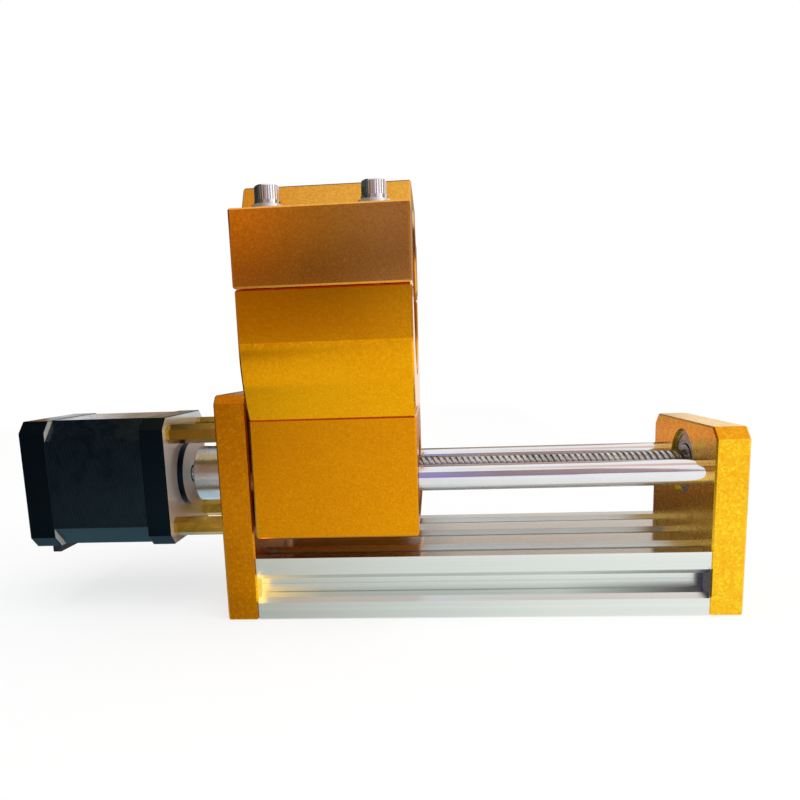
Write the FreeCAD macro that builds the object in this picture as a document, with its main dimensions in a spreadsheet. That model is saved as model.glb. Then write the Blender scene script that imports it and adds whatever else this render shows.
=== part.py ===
# Linear z-axis module: a slotted rail between two plates, a stepper motor on standoffs, a lead screw, two
# guide rods, and a carriage that carries a split spindle clamp. It lies on the rail's back. X runs from the
# motor to the idle end, Y across the rail, Z from the rail's back to the clamp. Millimetres.
import FreeCAD, Part
import math
import os
import re
import Sketcher
from FreeCAD import Rotation, Vector

doc = FreeCAD.newDocument("z_axis_module")
sheet = doc.addObject("Spreadsheet::Sheet", "Sizes")

SIZES = {
    # Rail: aluminium profile with a V-mouthed slot on each side of every square cell
    "rail_length": 140,
    "rail_width": 60,
    "rail_height": 20,
    "slot_pitch": 20,
    "slot_mouth": 9.2,
    "slot_neck": 6.2,
    "slot_lip": 1.8,
    "slot_cavity": 11,
    "slot_floor": 5.4,
    "slot_depth": 6.1,
    "hollow_width": 5.4,
    "hollow_height": 14,
    # Plates at the two ends of the rail
    "plate_thickness": 10,
    "motor_plate_height": 71.5,
    "motor_plate_corner": 2.5,
    "end_plate_height": 57.5,
    "end_plate_corner": 3.5,
    "edge_break": 0.5,
    # Drive axis above the rail's back, shared by motor, screw, nut and rods
    "axis_height": 43.35,
    # Guide rods
    "rod_diameter": 8,
    "rod_spacing": 44,
    "rod_seat": 4,
    "rod_bevel": 0.6,
    "rod_thread_depth": 10,
    # Stepper motor
    "motor_side": 42.3,
    "motor_length": 48,
    "front_cap_length": 7.7,
    "rear_cap_length": 8.5,
    "cap_corner": 3.6,
    "cap_edge_break": 0.2,
    "stack_corner": 6.6,
    "stack_inset": 0.1,
    "pilot_diameter": 22,
    "pilot_height": 2,
    "motor_hole_edge": 5.65,
    "stator_bore": 27,
    "rotor_diameter": 26,
    "rotor_length": 27,
    "shaft_diameter": 5,
    "shaft_bare": 5,
    "motor_bearing_outer": 14,
    "motor_bearing_width": 4.5,
    "connector_width": 16,
    "connector_depth": 2.8,
    "connector_drop": 4.5,
    "connector_wall": 0.8,
    "pin_size": 0.6,
    "pin_pitch": 2,
    # Standoffs between motor and plate
    "standoff_length": 20,
    "standoff_flats": 5.5,
    "standoff_stud": 3,
    "standoff_thread_depth": 8,
    # Coupler between motor shaft and lead screw
    "coupler_diameter": 19,
    "coupler_length": 25,
    "coupler_grip": 12,
    "coupler_slit": 0.8,
    "coupler_slit_pitch": 1.9,
    "coupler_hinge": 5,
    "coupler_hole": 22,
    # Lead screw and the bearing at its idle end
    "lead_screw_diameter": 8,
    "lead_screw_bevel": 0.8,
    "lead_screw_tail": 1,
    "end_bearing_outer": 22,
    "end_bearing_width": 7,
    "end_bearing_recess": 1,
    "end_bearing_race": 1.7,
    "bearing_shield": 0.6,
    "bearing_shield_inset": 0.3,
    "bearing_gap": 0.4,
    "end_plate_hole": 14,
    # Carriage
    "carriage_length": 50,
    "carriage_width": 70,
    "carriage_height": 36.4,
    "carriage_lift": 7.6,
    "home_gap": 2,
    "bearing_outer": 15,
    "bearing_length": 24,
    "bearing_inset": 0.8,
    "groove_width": 1.1,
    "groove_depth": 0.35,
    "groove_inset": 3,
    # Lead nut in the carriage's idle side
    "nut_body": 10.2,
    "nut_length": 15,
    "nut_flange": 22,
    "nut_flange_thickness": 3.5,
    "nut_circle": 16,
    "nut_recess": 7,
    # Split spindle clamp
    "clamp_length": 50,
    "bore_diameter": 52,
    "clamp_wall": 15.25,
    "clamp_floor": 11.3,
    "clamp_side": 15,
    "split_gap": 0.1,
    "ear_overhang": 1.75,
    "ear_height": 21.5,
    "cap_wall": 5.05,
    "hump_gap": 3.5,
    "hump_slant": 6,
    "clamp_screw_end": 10,
    "clamp_screw_edge": 4.25,
    "clamp_screw_length": 36,
    "mount_screw_end": 10,
    "mount_screw_span": 24,
    # Socket head screws in three sizes: thread, head, key
    "small_screw": 3,
    "small_head": 5.5,
    "small_head_height": 3,
    "small_key": 2.5,
    "medium_screw": 4,
    "medium_head": 7,
    "medium_head_height": 4,
    "medium_key": 3,
    "large_screw": 5,
    "large_head": 8.5,
    "large_head_height": 5,
    "large_key": 4,
    "head_bevel": 0.35,
    "grub_key": 2,
    "set_key": 1.5,
    "rail_screw_length": 20,
    "rod_screw_length": 9,
    "tie_screw_grip": 3,
    "standoff_screw_length": 12,
    "nut_screw_length": 10,
    "mount_screw_length": 16,
    "washer_outer": 9,
    "washer_thickness": 1.2,
    "spring_washer_outer": 7.4,
    "spring_washer_thickness": 1.2,
    "spring_washer_cut": 0.9,
    # Clearances: radial play of fitted pieces, of screws in their holes and of heads in their sinks
    "fit_play": 0.05,
    "screw_play": 0.25,
    "head_play": 0.4,
    "head_sink": 0.4,
}
for row, (alias, size) in enumerate(SIZES.items(), 1):
    sheet.set(f"A{row}", alias.replace("_", " "))
    sheet.set(f"B{row}", str(size))
    sheet.setAlias(f"B{row}", alias)
doc.recompute()

# Places that several pieces share, worked out from the sizes. The overall length is centred on X zero.
RAIL_START = "(motor_length + standoff_length - rail_length) / 2"
RAIL_END = f"({RAIL_START} + rail_length)"
MOTOR_FRONT = f"({RAIL_START} - plate_thickness - standoff_length)"
MOTOR_REAR = f"({MOTOR_FRONT} - motor_length)"
STACK_LENGTH = "(motor_length - front_cap_length - rear_cap_length)"
MOTOR_HOLE_SPACING = "(motor_side - 2 * motor_hole_edge)"
COUPLER_START = f"({MOTOR_FRONT} + shaft_bare)"
SCREW_START = f"({COUPLER_START} + coupler_length - coupler_grip)"
CARRIAGE_START = f"({RAIL_START} + home_gap)"
CARRIAGE_FLOOR = "(rail_height + carriage_lift)"
CLAMP_SEAT = f"({CARRIAGE_FLOOR} + carriage_height)"
BORE_HEIGHT = "(bore_diameter / 2 + clamp_floor)"
BORE_AXIS = f"({CLAMP_SEAT} + {BORE_HEIGHT})"
CLAMP_WIDTH = "(bore_diameter + 2 * clamp_wall)"
EAR_WIDTH = f"({CLAMP_WIDTH} + 2 * ear_overhang)"
EAR_TOP = "(split_gap / 2 + ear_height)"
CLAMP_SCREW_SPAN = f"({CLAMP_WIDTH} - 2 * clamp_screw_edge)"
HUMP_BASE = f"({CLAMP_SCREW_SPAN} - washer_outer - 2 * hump_gap)"
HUMP_TOP = f"({HUMP_BASE} - 2 * hump_slant)"
MOUNT_FLOOR = "(clamp_floor - large_head_height - head_sink)"
CELLS = "floor(rail_width / slot_pitch)"
FIRST_CELL = f"(({CELLS} - 1) / -2 * slot_pitch)"
AXIS_IN_CARRIAGE = f"(axis_height - {CARRIAGE_FLOOR})"

# Directions that a screw's point can face, as turns of the X axis
TURNS = {
    "+X": Rotation(),
    "-X": Rotation(Vector(0, 0, 1), 180),
    "+Z": Rotation(Vector(0, 1, 0), -90),
    "-Z": Rotation(Vector(0, 1, 0), 90),
    "+Y": Rotation(Vector(0, 0, 1), 90),
}


def formula(text):
    """Puts the sheet's name before each size that a formula names."""
    return re.sub(r"[a-z_]+", lambda word: f"Sizes.{word[0]}" if word[0] in SIZES else word[0], str(text))


def number(text):
    """Works a formula out from the sheet's present values."""
    return float(sheet.evalExpression(formula(text)))


def place(piece, x="0", y="0", z="0", turn="+X"):
    """Ties a piece's place to the sheet."""
    piece.Placement = FreeCAD.Placement(Vector(number(x), number(y), number(z)), TURNS[turn])
    for axis, text in zip("xyz", (x, y, z)):
        piece.setExpression(f"Placement.Base.{axis}", formula(text))
    return piece


def new_body(name):
    body = doc.addObject("PartDesign::Body", name)
    body.Label = name
    return body


def origin_feature(body, role):
    return next(feature for feature in body.Origin.OriginFeatures if feature.Role == role)


def new_sketch(body, plane, offset="0"):
    """Sketch on one of the body's own planes, moved along that plane's normal."""
    sketch = body.newObject("Sketcher::SketchObject", f"{body.Name}_sketch")
    sketch.AttachmentSupport = [(origin_feature(body, plane), "")]
    sketch.MapMode = "FlatFace"
    sketch.setExpression("AttachmentOffset.Base.z", formula(offset))
    return sketch


def tie(sketch, kind, *target, text):
    """Adds one dimension to a sketch and ties it to the sheet."""
    index = sketch.addConstraint(Sketcher.Constraint(kind, *target, number(text)))
    sketch.setExpression(f"Constraints[{index}]", formula(text))


def tie_point(sketch, geometry, end, across, up):
    tie(sketch, "DistanceX", -1, 1, geometry, end, text=across)
    tie(sketch, "DistanceY", -1, 1, geometry, end, text=up)


def draw_polygon(sketch, corners):
    """Closed outline of straight sides, each corner held from the sketch's origin."""
    spots = [Vector(number(across), number(up), 0) for across, up in corners]
    lines = []
    for start, end in zip(spots, spots[1:] + spots[:1]):
        lines.append(sketch.addGeometry(Part.LineSegment(start, end)))
    for line, following in zip(lines, lines[1:] + lines[:1]):
        sketch.addConstraint(Sketcher.Constraint("Coincident", line, 2, following, 1))
    for line, (across, up) in zip(lines, corners):
        tie_point(sketch, line, 1, across, up)


def draw_circle(sketch, across, up, diameter):
    spot = Vector(number(across), number(up), 0)
    circle = sketch.addGeometry(Part.Circle(spot, Vector(0, 0, 1), number(diameter) / 2))
    tie_point(sketch, circle, 3, across, up)
    tie(sketch, "Diameter", circle, text=diameter)


def rectangle(width, low, high):
    half = f"({width}) / 2"
    return [(f"-{half}", low), (half, low), (half, high), (f"-{half}", high)]


def cut_corner_square(side, corner):
    """Square with its four corners cut off at 45 degrees."""
    half = f"({side}) / 2"
    near = f"({half} - {corner})"
    return [(f"-{near}", f"-{half}"), (near, f"-{half}"), (half, f"-{near}"), (half, near),
            (near, half), (f"-{near}", half), (f"-{half}", near), (f"-{half}", f"-{near}")]


def hexagon(flats):
    """Hexagon with a corner upwards."""
    corners = []
    for index in range(6):
        angle = math.radians(60 * index + 30)
        reach = f"({flats}) / 2 / {math.cos(math.radians(30)):.9f}"
        corners.append((f"{reach} * {math.cos(angle):.9f}", f"{reach} * {math.sin(angle):.9f}"))
    return corners


def pad(body, sketch, length):
    feature = body.newObject("PartDesign::Pad", f"{body.Name}_pad")
    feature.Profile = sketch
    feature.setExpression("Length", formula(length))
    doc.recompute()
    return feature


def pocket(body, sketch, depth, forward):
    """Cuts a sketch into the body, along the sketch's normal when forward is true, and stops if it misses."""
    before = body.Shape.Volume
    feature = body.newObject("PartDesign::Pocket", f"{body.Name}_pocket")
    feature.Profile = sketch
    feature.Reversed = forward
    feature.setExpression("Length", formula(depth))
    doc.recompute()
    if body.Shape.Volume >= before:
        raise RuntimeError(f"{feature.Name} cuts nothing")
    return feature


def bore(body, circles, depth, plane="YZ_Plane", offset="0", forward=True):
    """Cuts round holes, each given by its place in the plane and its diameter."""
    sketch = new_sketch(body, plane, offset)
    for across, up, diameter in circles:
        draw_circle(sketch, across, up, diameter)
    return pocket(body, sketch, depth, forward)


def row_pattern(body, feature, spacing, count):
    """Repeats a cut along Y."""
    pattern = body.newObject("PartDesign::LinearPattern", f"{body.Name}_row")
    pattern.Originals = [feature]
    pattern.Direction = (origin_feature(body, "Y_Axis"), [""])
    pattern.Mode = "Spacing"
    pattern.setExpression("Offset", formula(spacing))
    pattern.setExpression("Occurrences", formula(count))
    body.Tip = pattern
    doc.recompute()
    return pattern


def revolve(body, corners):
    """Turns an outline given as (along X, out from X) about the X axis."""
    sketch = new_sketch(body, "XY_Plane")
    draw_polygon(sketch, corners)
    feature = body.newObject("PartDesign::Revolution", f"{body.Name}_turn")
    feature.Profile = sketch
    feature.ReferenceAxis = (sketch, ["H_Axis"])
    feature.Angle = 360
    doc.recompute()
    return feature


def break_edges(body, feature, length, corners=(), size="edge_break"):
    """Bevels the outline edges of a bar's two end faces, and its long edges at the given corners."""
    ends = (0, number(length))
    long_edges = [(number(across), number(up)) for across, up in corners]
    names = []
    for index, edge in enumerate(feature.Shape.Edges, 1):
        box = edge.BoundBox
        at_end = box.XLength < 1e-6 and min(abs(box.XMin - end) for end in ends) < 1e-6
        along = max(box.YLength, box.ZLength) < 1e-6
        at_corner = along and any(math.dist((box.YMin, box.ZMin), spot) < 1e-6 for spot in long_edges)
        if at_end or at_corner:
            names.append(f"Edge{index}")
    bevel = body.newObject("PartDesign::Chamfer", f"{body.Name}_bevel")
    bevel.Base = (feature, names)
    bevel.setExpression("Size", formula(size))
    doc.recompute()
    return bevel


def copies(name, piece, places):
    """One node of several equal solids: links to one model, each at its own place."""
    links = []
    for x, y, z, turn in places:
        link = doc.addObject("App::Link", f"{name}_copy")
        link.LinkedObject = piece
        link.LinkTransform = True
        links.append(place(link, x, y, z, turn))
    group = doc.addObject("Part::Compound", name)
    group.Label = name
    group.Links = links
    return group


def socket_screw(name, kind, length):
    """Socket head cap screw along X: head before X zero, thread after it."""
    thread, head, tall = f"{kind}_screw / 2", f"{kind}_head / 2", f"{kind}_head_height"
    body = new_body(name)
    revolve(body, [(f"-{tall}", "0"), (f"-{tall}", f"{head} - head_bevel"), (f"head_bevel - {tall}", head),
                   ("0", head), ("0", thread), (f"{length} - head_bevel", thread),
                   (length, f"{thread} - head_bevel"), (length, "0")])
    socket = new_sketch(body, "YZ_Plane", f"-{tall}")
    draw_polygon(socket, hexagon(f"{kind}_key"))
    pocket(body, socket, f"{tall} * 0.6", forward=True)
    return body


def grub_screw(name, diameter, length, key):
    """Headless set screw along X, with its key socket at X zero."""
    body = new_body(name)
    revolve(body, [("0", "0"), ("0", f"{diameter} / 2 - head_bevel"), ("head_bevel", f"{diameter} / 2"),
                   (f"{length} - head_bevel", f"{diameter} / 2"), (length, f"{diameter} / 2 - head_bevel"),
                   (length, "0")])
    socket = new_sketch(body, "YZ_Plane")
    draw_polygon(socket, hexagon(key))
    pocket(body, socket, f"{length} / 3", forward=True)
    return body


def four_corners(spacing, middle="0"):
    """Places of a square hole pattern, as (across, up)."""
    reach = f"{spacing} / 2"
    return [(f"{side} * {reach}", f"{middle} + {level} * {reach}") for side in (-1, 1) for level in (-1, 1)]


CELL_COUNT = int(number(CELLS))
CELL_PLACES = [f"({FIRST_CELL} + {index} * slot_pitch)" for index in range(CELL_COUNT)]
ROD_PLACES = ["-rod_spacing / 2", "rod_spacing / 2"]
nodes = []

# Rail: the profile's outline is padded, then its slots, screw cores and hollows are cut along it
rail = new_body("base_rail")
section = new_sketch(rail, "YZ_Plane")
draw_polygon(section, rectangle("rail_width", "-rail_height / 2", "rail_height / 2"))
pad(rail, section, "rail_length")


def slot_outline(face, middle, upright):
    """T slot with a V mouth, cut inwards from one of two faces that lie the given distance apart."""
    taper = "(slot_cavity - slot_floor) / 2"
    half = [("slot_mouth / 2", "0"), ("slot_neck / 2", "(slot_mouth - slot_neck) / 2"),
            ("slot_neck / 2", "slot_lip"), ("slot_cavity / 2", "slot_lip"),
            ("slot_cavity / 2", f"slot_depth - {taper}"), ("slot_floor / 2", "slot_depth")]
    outline = []
    for sign, steps in ((-1, half), (1, half[::-1])):
        for out, deep in steps:
            along = f"{middle} + {sign} * ({out})"
            inward = f"{face} / 2 - ({deep})"
            outline.append((along, inward) if upright else (inward, along))
    return outline


def mirrored(outline, upright):
    return [(across, f"-({up})") if upright else (f"-({across})", up) for across, up in outline]


slots = new_sketch(rail, "YZ_Plane")
upper_slot = slot_outline("rail_height", FIRST_CELL, upright=True)
draw_polygon(slots, upper_slot)
draw_polygon(slots, mirrored(upper_slot, upright=True))
row_pattern(rail, pocket(rail, slots, "rail_length", forward=True), "slot_pitch", CELLS)
side_slots = new_sketch(rail, "YZ_Plane")
side_slot = slot_outline("rail_width", "0", upright=False)
draw_polygon(side_slots, side_slot)
draw_polygon(side_slots, mirrored(side_slot, upright=False))
pocket(rail, side_slots, "rail_length", forward=True)
cores = bore(rail, [(FIRST_CELL, "0", "large_screw + 2 * fit_play")], "rail_length")
row_pattern(rail, cores, "slot_pitch", CELLS)
hollow = new_sketch(rail, "YZ_Plane")
hollow_middle = f"{FIRST_CELL} + slot_pitch / 2"
hollow_corners = rectangle("hollow_width", "-hollow_height / 2", "hollow_height / 2")
draw_polygon(hollow, [(f"{hollow_middle} + {across}", up) for across, up in hollow_corners])
row_pattern(rail, pocket(rail, hollow, "rail_length", forward=True), "slot_pitch", f"{CELLS} - 1")
nodes.append(place(rail, RAIL_START, "0", "rail_height / 2"))


def plate_outline(height, corner):
    """Plate standing on the rail's back, with its two top corners cut."""
    half = "rail_width / 2"
    return [(f"-{half}", "0"), (half, "0"), (half, f"{height} - {corner}"), (f"{half} - {corner}", height),
            (f"{corner} - {half}", height), (f"-{half}", f"{height} - {corner}")]


def plate_fixings(body, outer, inward):
    """Sunk holes for rail and rod screws, cut from a plate's outer face, and the rods' seats."""
    inner = "plate_thickness" if outer == "0" else "0"
    rail_holes = [(cell, "rail_height / 2") for cell in CELL_PLACES]
    rod_holes = [(rod, "axis_height") for rod in ROD_PLACES]
    for holes, kind in ((rail_holes, "large"), (rod_holes, "medium")):
        bore(body, [(*hole, f"{kind}_head + 2 * head_play") for hole in holes],
             f"{kind}_head_height + head_sink", offset=outer, forward=inward)
        bore(body, [(*hole, f"{kind}_screw + 2 * screw_play") for hole in holes],
             "plate_thickness", offset=outer, forward=inward)
    bore(body, [(*hole, "rod_diameter + 2 * fit_play") for hole in rod_holes],
         "rod_seat", offset=inner, forward=not inward)


# Motor plate: outer face towards the motor, with the coupler's hole and sunk holes for the standoff screws
motor_plate = new_body("motor_plate")
motor_outline = new_sketch(motor_plate, "YZ_Plane")
draw_polygon(motor_outline, plate_outline("motor_plate_height", "motor_plate_corner"))
break_edges(motor_plate, pad(motor_plate, motor_outline, "plate_thickness"), "plate_thickness")
bore(motor_plate, [("0", "axis_height", "coupler_hole")], "plate_thickness")
standoff_holes = four_corners(MOTOR_HOLE_SPACING, "axis_height")
bore(motor_plate, [(*hole, "small_screw + 2 * screw_play") for hole in standoff_holes], "plate_thickness")
bore(motor_plate, [(*hole, "small_head + 2 * head_play") for hole in standoff_holes],
     "small_head_height + head_sink", offset="plate_thickness", forward=False)
plate_fixings(motor_plate, outer="0", inward=True)
nodes.append(place(motor_plate, f"{RAIL_START} - plate_thickness"))

# End plate: holds the lead screw's bearing in a pocket that opens towards the carriage
end_plate = new_body("end_plate")
end_outline = new_sketch(end_plate, "YZ_Plane")
draw_polygon(end_outline, plate_outline("end_plate_height", "end_plate_corner"))
break_edges(end_plate, pad(end_plate, end_outline, "plate_thickness"), "plate_thickness")
bore(end_plate, [("0", "axis_height", "end_bearing_outer + 2 * fit_play")],
     "end_bearing_recess + end_bearing_width")
bore(end_plate, [("0", "axis_height", "end_plate_hole")], "plate_thickness")
plate_fixings(end_plate, outer="plate_thickness", inward=False)
nodes.append(place(end_plate, RAIL_END))

# Guide rods: ground steel, seated in both plates and tapped at both ends
ROD_LENGTH = "(rail_length + 2 * rod_seat)"
ROD_THREAD = "(medium_screw / 2 + fit_play)"
rod = new_body("rod_model")
revolve(rod, [("rod_thread_depth", "0"), ("rod_thread_depth", ROD_THREAD), ("0", ROD_THREAD),
              ("0", "rod_diameter / 2 - rod_bevel"), ("rod_bevel", "rod_diameter / 2"),
              (f"{ROD_LENGTH} - rod_bevel", "rod_diameter / 2"),
              (ROD_LENGTH, "rod_diameter / 2 - rod_bevel"),
              (ROD_LENGTH, ROD_THREAD), (f"{ROD_LENGTH} - rod_thread_depth", ROD_THREAD),
              (f"{ROD_LENGTH} - rod_thread_depth", "0")])
rod_places = [(f"{RAIL_START} - rod_seat", y, "axis_height", "+X") for y in ROD_PLACES]
nodes.append(copies("guide_rods", rod, rod_places))

# Screws from the plates' outer faces into the rail's cores and into the rods
for name, kind, length, spots in (
    ("rail_screws", "large", "rail_screw_length", [(cell, "rail_height / 2") for cell in CELL_PLACES]),
    ("rod_end_screws", "medium", "rod_screw_length", [(y, "axis_height") for y in ROD_PLACES]),
):
    screw = socket_screw(f"{name}_model", kind, length)
    motor_side = f"{RAIL_START} - plate_thickness + {kind}_head_height + head_sink"
    idle_side = f"{RAIL_END} + plate_thickness - {kind}_head_height - head_sink"
    spread = [(x, y, z, turn) for x, turn in ((motor_side, "+X"), (idle_side, "-X")) for y, z in spots]
    nodes.append(copies(name, screw, spread))

# Motor: die-cast caps on a laminated stack, all with cut corners, held together by four long screws
MOTOR_HOLES = four_corners(MOTOR_HOLE_SPACING)
front_cap = new_body("motor_front_cap")
front_square = new_sketch(front_cap, "YZ_Plane")
draw_polygon(front_square, cut_corner_square("motor_side", "cap_corner"))
front_pad = pad(front_cap, front_square, "front_cap_length")
break_edges(front_cap, front_pad, "front_cap_length", size="cap_edge_break")
pilot = new_sketch(front_cap, "YZ_Plane", "front_cap_length")
draw_circle(pilot, "0", "0", "pilot_diameter")
pad(front_cap, pilot, "pilot_height")
bore(front_cap, [("0", "0", "motor_bearing_outer + 2 * fit_play")], "motor_bearing_width")
bore(front_cap, [("0", "0", "shaft_diameter + 4 * screw_play")], "front_cap_length + pilot_height")
bore(front_cap, [(*hole, "small_screw + 2 * fit_play") for hole in MOTOR_HOLES], "front_cap_length")
nodes.append(place(front_cap, f"{MOTOR_FRONT} - front_cap_length", "0", "axis_height"))

stack = new_body("motor_stack")
stack_square = new_sketch(stack, "YZ_Plane")
draw_polygon(stack_square, cut_corner_square("motor_side - 2 * stack_inset", "stack_corner"))
pad(stack, stack_square, STACK_LENGTH)
bore(stack, [("0", "0", "stator_bore")], STACK_LENGTH)
bore(stack, [(*hole, "small_screw + 2 * fit_play") for hole in MOTOR_HOLES], STACK_LENGTH)
nodes.append(place(stack, f"{MOTOR_FRONT} - front_cap_length - {STACK_LENGTH}", "0", "axis_height"))

rear_cap = new_body("motor_rear_cap")
rear_square = new_sketch(rear_cap, "YZ_Plane")
draw_polygon(rear_square, cut_corner_square("motor_side", "cap_corner"))
rear_pad = pad(rear_cap, rear_square, "rear_cap_length")
break_edges(rear_cap, rear_pad, "rear_cap_length", size="cap_edge_break")
bore(rear_cap, [("0", "0", "motor_bearing_outer + 2 * fit_play")], "motor_bearing_width",
     offset="rear_cap_length", forward=False)
bore(rear_cap, [(*hole, "small_screw + 2 * screw_play") for hole in MOTOR_HOLES], "rear_cap_length")
bore(rear_cap, [(*hole, "small_head + 2 * head_play") for hole in MOTOR_HOLES],
     "small_head_height + head_sink")
nodes.append(place(rear_cap, MOTOR_REAR, "0", "axis_height"))

TIE_LENGTH = f"(rear_cap_length + {STACK_LENGTH} + tie_screw_grip - small_head_height - head_sink)"
tie_screw = socket_screw("motor_tie_screws_model", "small", TIE_LENGTH)
tie_seat = f"{MOTOR_REAR} + small_head_height + head_sink"
tie_places = [(tie_seat, y, f"axis_height + {z}", "+X") for y, z in MOTOR_HOLES]
nodes.append(copies("motor_tie_screws", tie_screw, tie_places))

motor_bearing = new_body("motor_bearing_model")
revolve(motor_bearing, rectangle("motor_bearing_width", "shaft_diameter / 2 + fit_play",
                                 "motor_bearing_outer / 2"))
nodes.append(copies("motor_bearings", motor_bearing, [
    (f"{MOTOR_FRONT} - front_cap_length + motor_bearing_width / 2", "0", "axis_height", "+X"),
    (f"{MOTOR_REAR} + rear_cap_length - motor_bearing_width / 2", "0", "axis_height", "+X")]))

# Connector: open socket with a row of pins, under the motor's rear cap
connector = new_body("motor_connector")
shell = new_sketch(connector, "XY_Plane")
draw_polygon(shell, [("0", "-connector_width / 2"), ("connector_depth", "-connector_width / 2"),
                     ("connector_depth", "connector_width / 2"), ("0", "connector_width / 2")])
pad(connector, shell, "connector_drop")
mouth = new_sketch(connector, "XY_Plane")
MOUTH_SIDE = "(connector_width / 2 - connector_wall)"
MOUTH_END = "connector_depth - connector_wall"
draw_polygon(mouth, [("connector_wall", f"-{MOUTH_SIDE}"), (MOUTH_END, f"-{MOUTH_SIDE}"),
                     (MOUTH_END, MOUTH_SIDE), ("connector_wall", MOUTH_SIDE)])
pocket(connector, mouth, "connector_drop - connector_wall", forward=True)
PIN_COUNT = "floor((connector_width - 4 * connector_wall) / pin_pitch)"
PIN_LENGTH = "(connector_drop - 2 * connector_wall)"
pin = new_sketch(connector, "XY_Plane", "connector_wall")
FIRST_PIN = f"(({PIN_COUNT} - 1) / -2 * pin_pitch)"
draw_polygon(pin, [(f"connector_depth / 2 + {across}", f"{FIRST_PIN} + {up}")
                   for across, up in rectangle("pin_size", "-pin_size / 2", "pin_size / 2")])
row_pattern(connector, pad(connector, pin, PIN_LENGTH), "pin_pitch", PIN_COUNT)
nodes.append(place(connector, MOTOR_REAR, "0", "axis_height - motor_side / 2 - connector_drop"))

# Standoffs: hexagon bars with a stud into the motor and a tapped hole for the plate's screws
standoff = new_body("standoff_model")
standoff_bar = new_sketch(standoff, "YZ_Plane")
draw_polygon(standoff_bar, hexagon("standoff_flats"))
pad(standoff, standoff_bar, "standoff_length")
stud = new_sketch(standoff, "YZ_Plane", "-standoff_stud")
draw_circle(stud, "0", "0", "small_screw")
pad(standoff, stud, "standoff_stud")
bore(standoff, [("0", "0", "small_screw + 2 * fit_play")], "standoff_thread_depth",
     offset="standoff_length", forward=False)
standoff_places = four_corners(MOTOR_HOLE_SPACING, "axis_height")
nodes.append(copies("motor_standoffs", standoff, [(MOTOR_FRONT, y, z, "+X") for y, z in standoff_places]))
standoff_screw = socket_screw("standoff_screws_model", "small", "standoff_screw_length")
screw_seat = f"{RAIL_START} - small_head_height - head_sink"
screw_places = [(screw_seat, y, z, "-X") for y, z in standoff_places]
nodes.append(copies("standoff_screws", standoff_screw, screw_places))

# End bearing: shielded outer ring in the end plate, inner ring on the lead screw
RACE = "(end_bearing_outer / 2 - end_bearing_race)"
INNER_RACE = "(lead_screw_diameter / 2 + fit_play + end_bearing_race)"
SHIELD_EDGE = f"({INNER_RACE} + bearing_gap)"
SHIELD_DEPTH = "(bearing_shield_inset + bearing_shield)"
outer_ring = new_body("end_bearing_outer_ring")
revolve(outer_ring, [
    ("0", RACE), ("0", "end_bearing_outer / 2"), ("end_bearing_width", "end_bearing_outer / 2"),
    ("end_bearing_width", RACE), ("end_bearing_width - bearing_shield_inset", RACE),
    ("end_bearing_width - bearing_shield_inset", SHIELD_EDGE),
    (f"end_bearing_width - {SHIELD_DEPTH}", SHIELD_EDGE),
    (f"end_bearing_width - {SHIELD_DEPTH}", RACE), (SHIELD_DEPTH, RACE), (SHIELD_DEPTH, SHIELD_EDGE),
    ("bearing_shield_inset", SHIELD_EDGE), ("bearing_shield_inset", RACE)])
BEARING_START = f"({RAIL_END} + end_bearing_recess)"
nodes.append(place(outer_ring, BEARING_START, "0", "axis_height"))
inner_ring = new_body("end_bearing_inner_ring")
revolve(inner_ring, rectangle("end_bearing_width", "lead_screw_diameter / 2 + fit_play", INNER_RACE))
nodes.append(place(inner_ring, f"{BEARING_START} + end_bearing_width / 2", "0", "axis_height"))

# Lead screw, from the coupler through the nut to the end bearing
SCREW_LENGTH = f"({BEARING_START} + end_bearing_width + lead_screw_tail - {SCREW_START})"
lead_screw = new_body("lead_screw")
revolve(lead_screw, [("0", "0"), ("0", "lead_screw_diameter / 2 - lead_screw_bevel"),
                     ("lead_screw_bevel", "lead_screw_diameter / 2"),
                     (f"{SCREW_LENGTH} - lead_screw_bevel", "lead_screw_diameter / 2"),
                     (SCREW_LENGTH, "lead_screw_diameter / 2 - lead_screw_bevel"), (SCREW_LENGTH, "0")])
nodes.append(place(lead_screw, SCREW_START, "0", "axis_height"))

# Motor shaft in its two bearings, with the rotor pressed on inside the stack
SHAFT_START = f"({MOTOR_REAR} + rear_cap_length - motor_bearing_width + bearing_gap)"
SHAFT_LENGTH = f"({COUPLER_START} + coupler_grip - {SHAFT_START})"
motor_shaft = new_body("motor_shaft")
revolve(motor_shaft, [("0", "0"), ("0", "shaft_diameter / 2"),
                      (f"{SHAFT_LENGTH} - head_bevel", "shaft_diameter / 2"),
                      (SHAFT_LENGTH, "shaft_diameter / 2 - head_bevel"), (SHAFT_LENGTH, "0")])
nodes.append(place(motor_shaft, SHAFT_START, "0", "axis_height"))
rotor = new_body("motor_rotor")
revolve(rotor, rectangle("rotor_length", "shaft_diameter / 2 + fit_play", "rotor_diameter / 2"))
nodes.append(place(rotor, f"{MOTOR_FRONT} - front_cap_length - {STACK_LENGTH} / 2", "0", "axis_height"))

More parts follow.
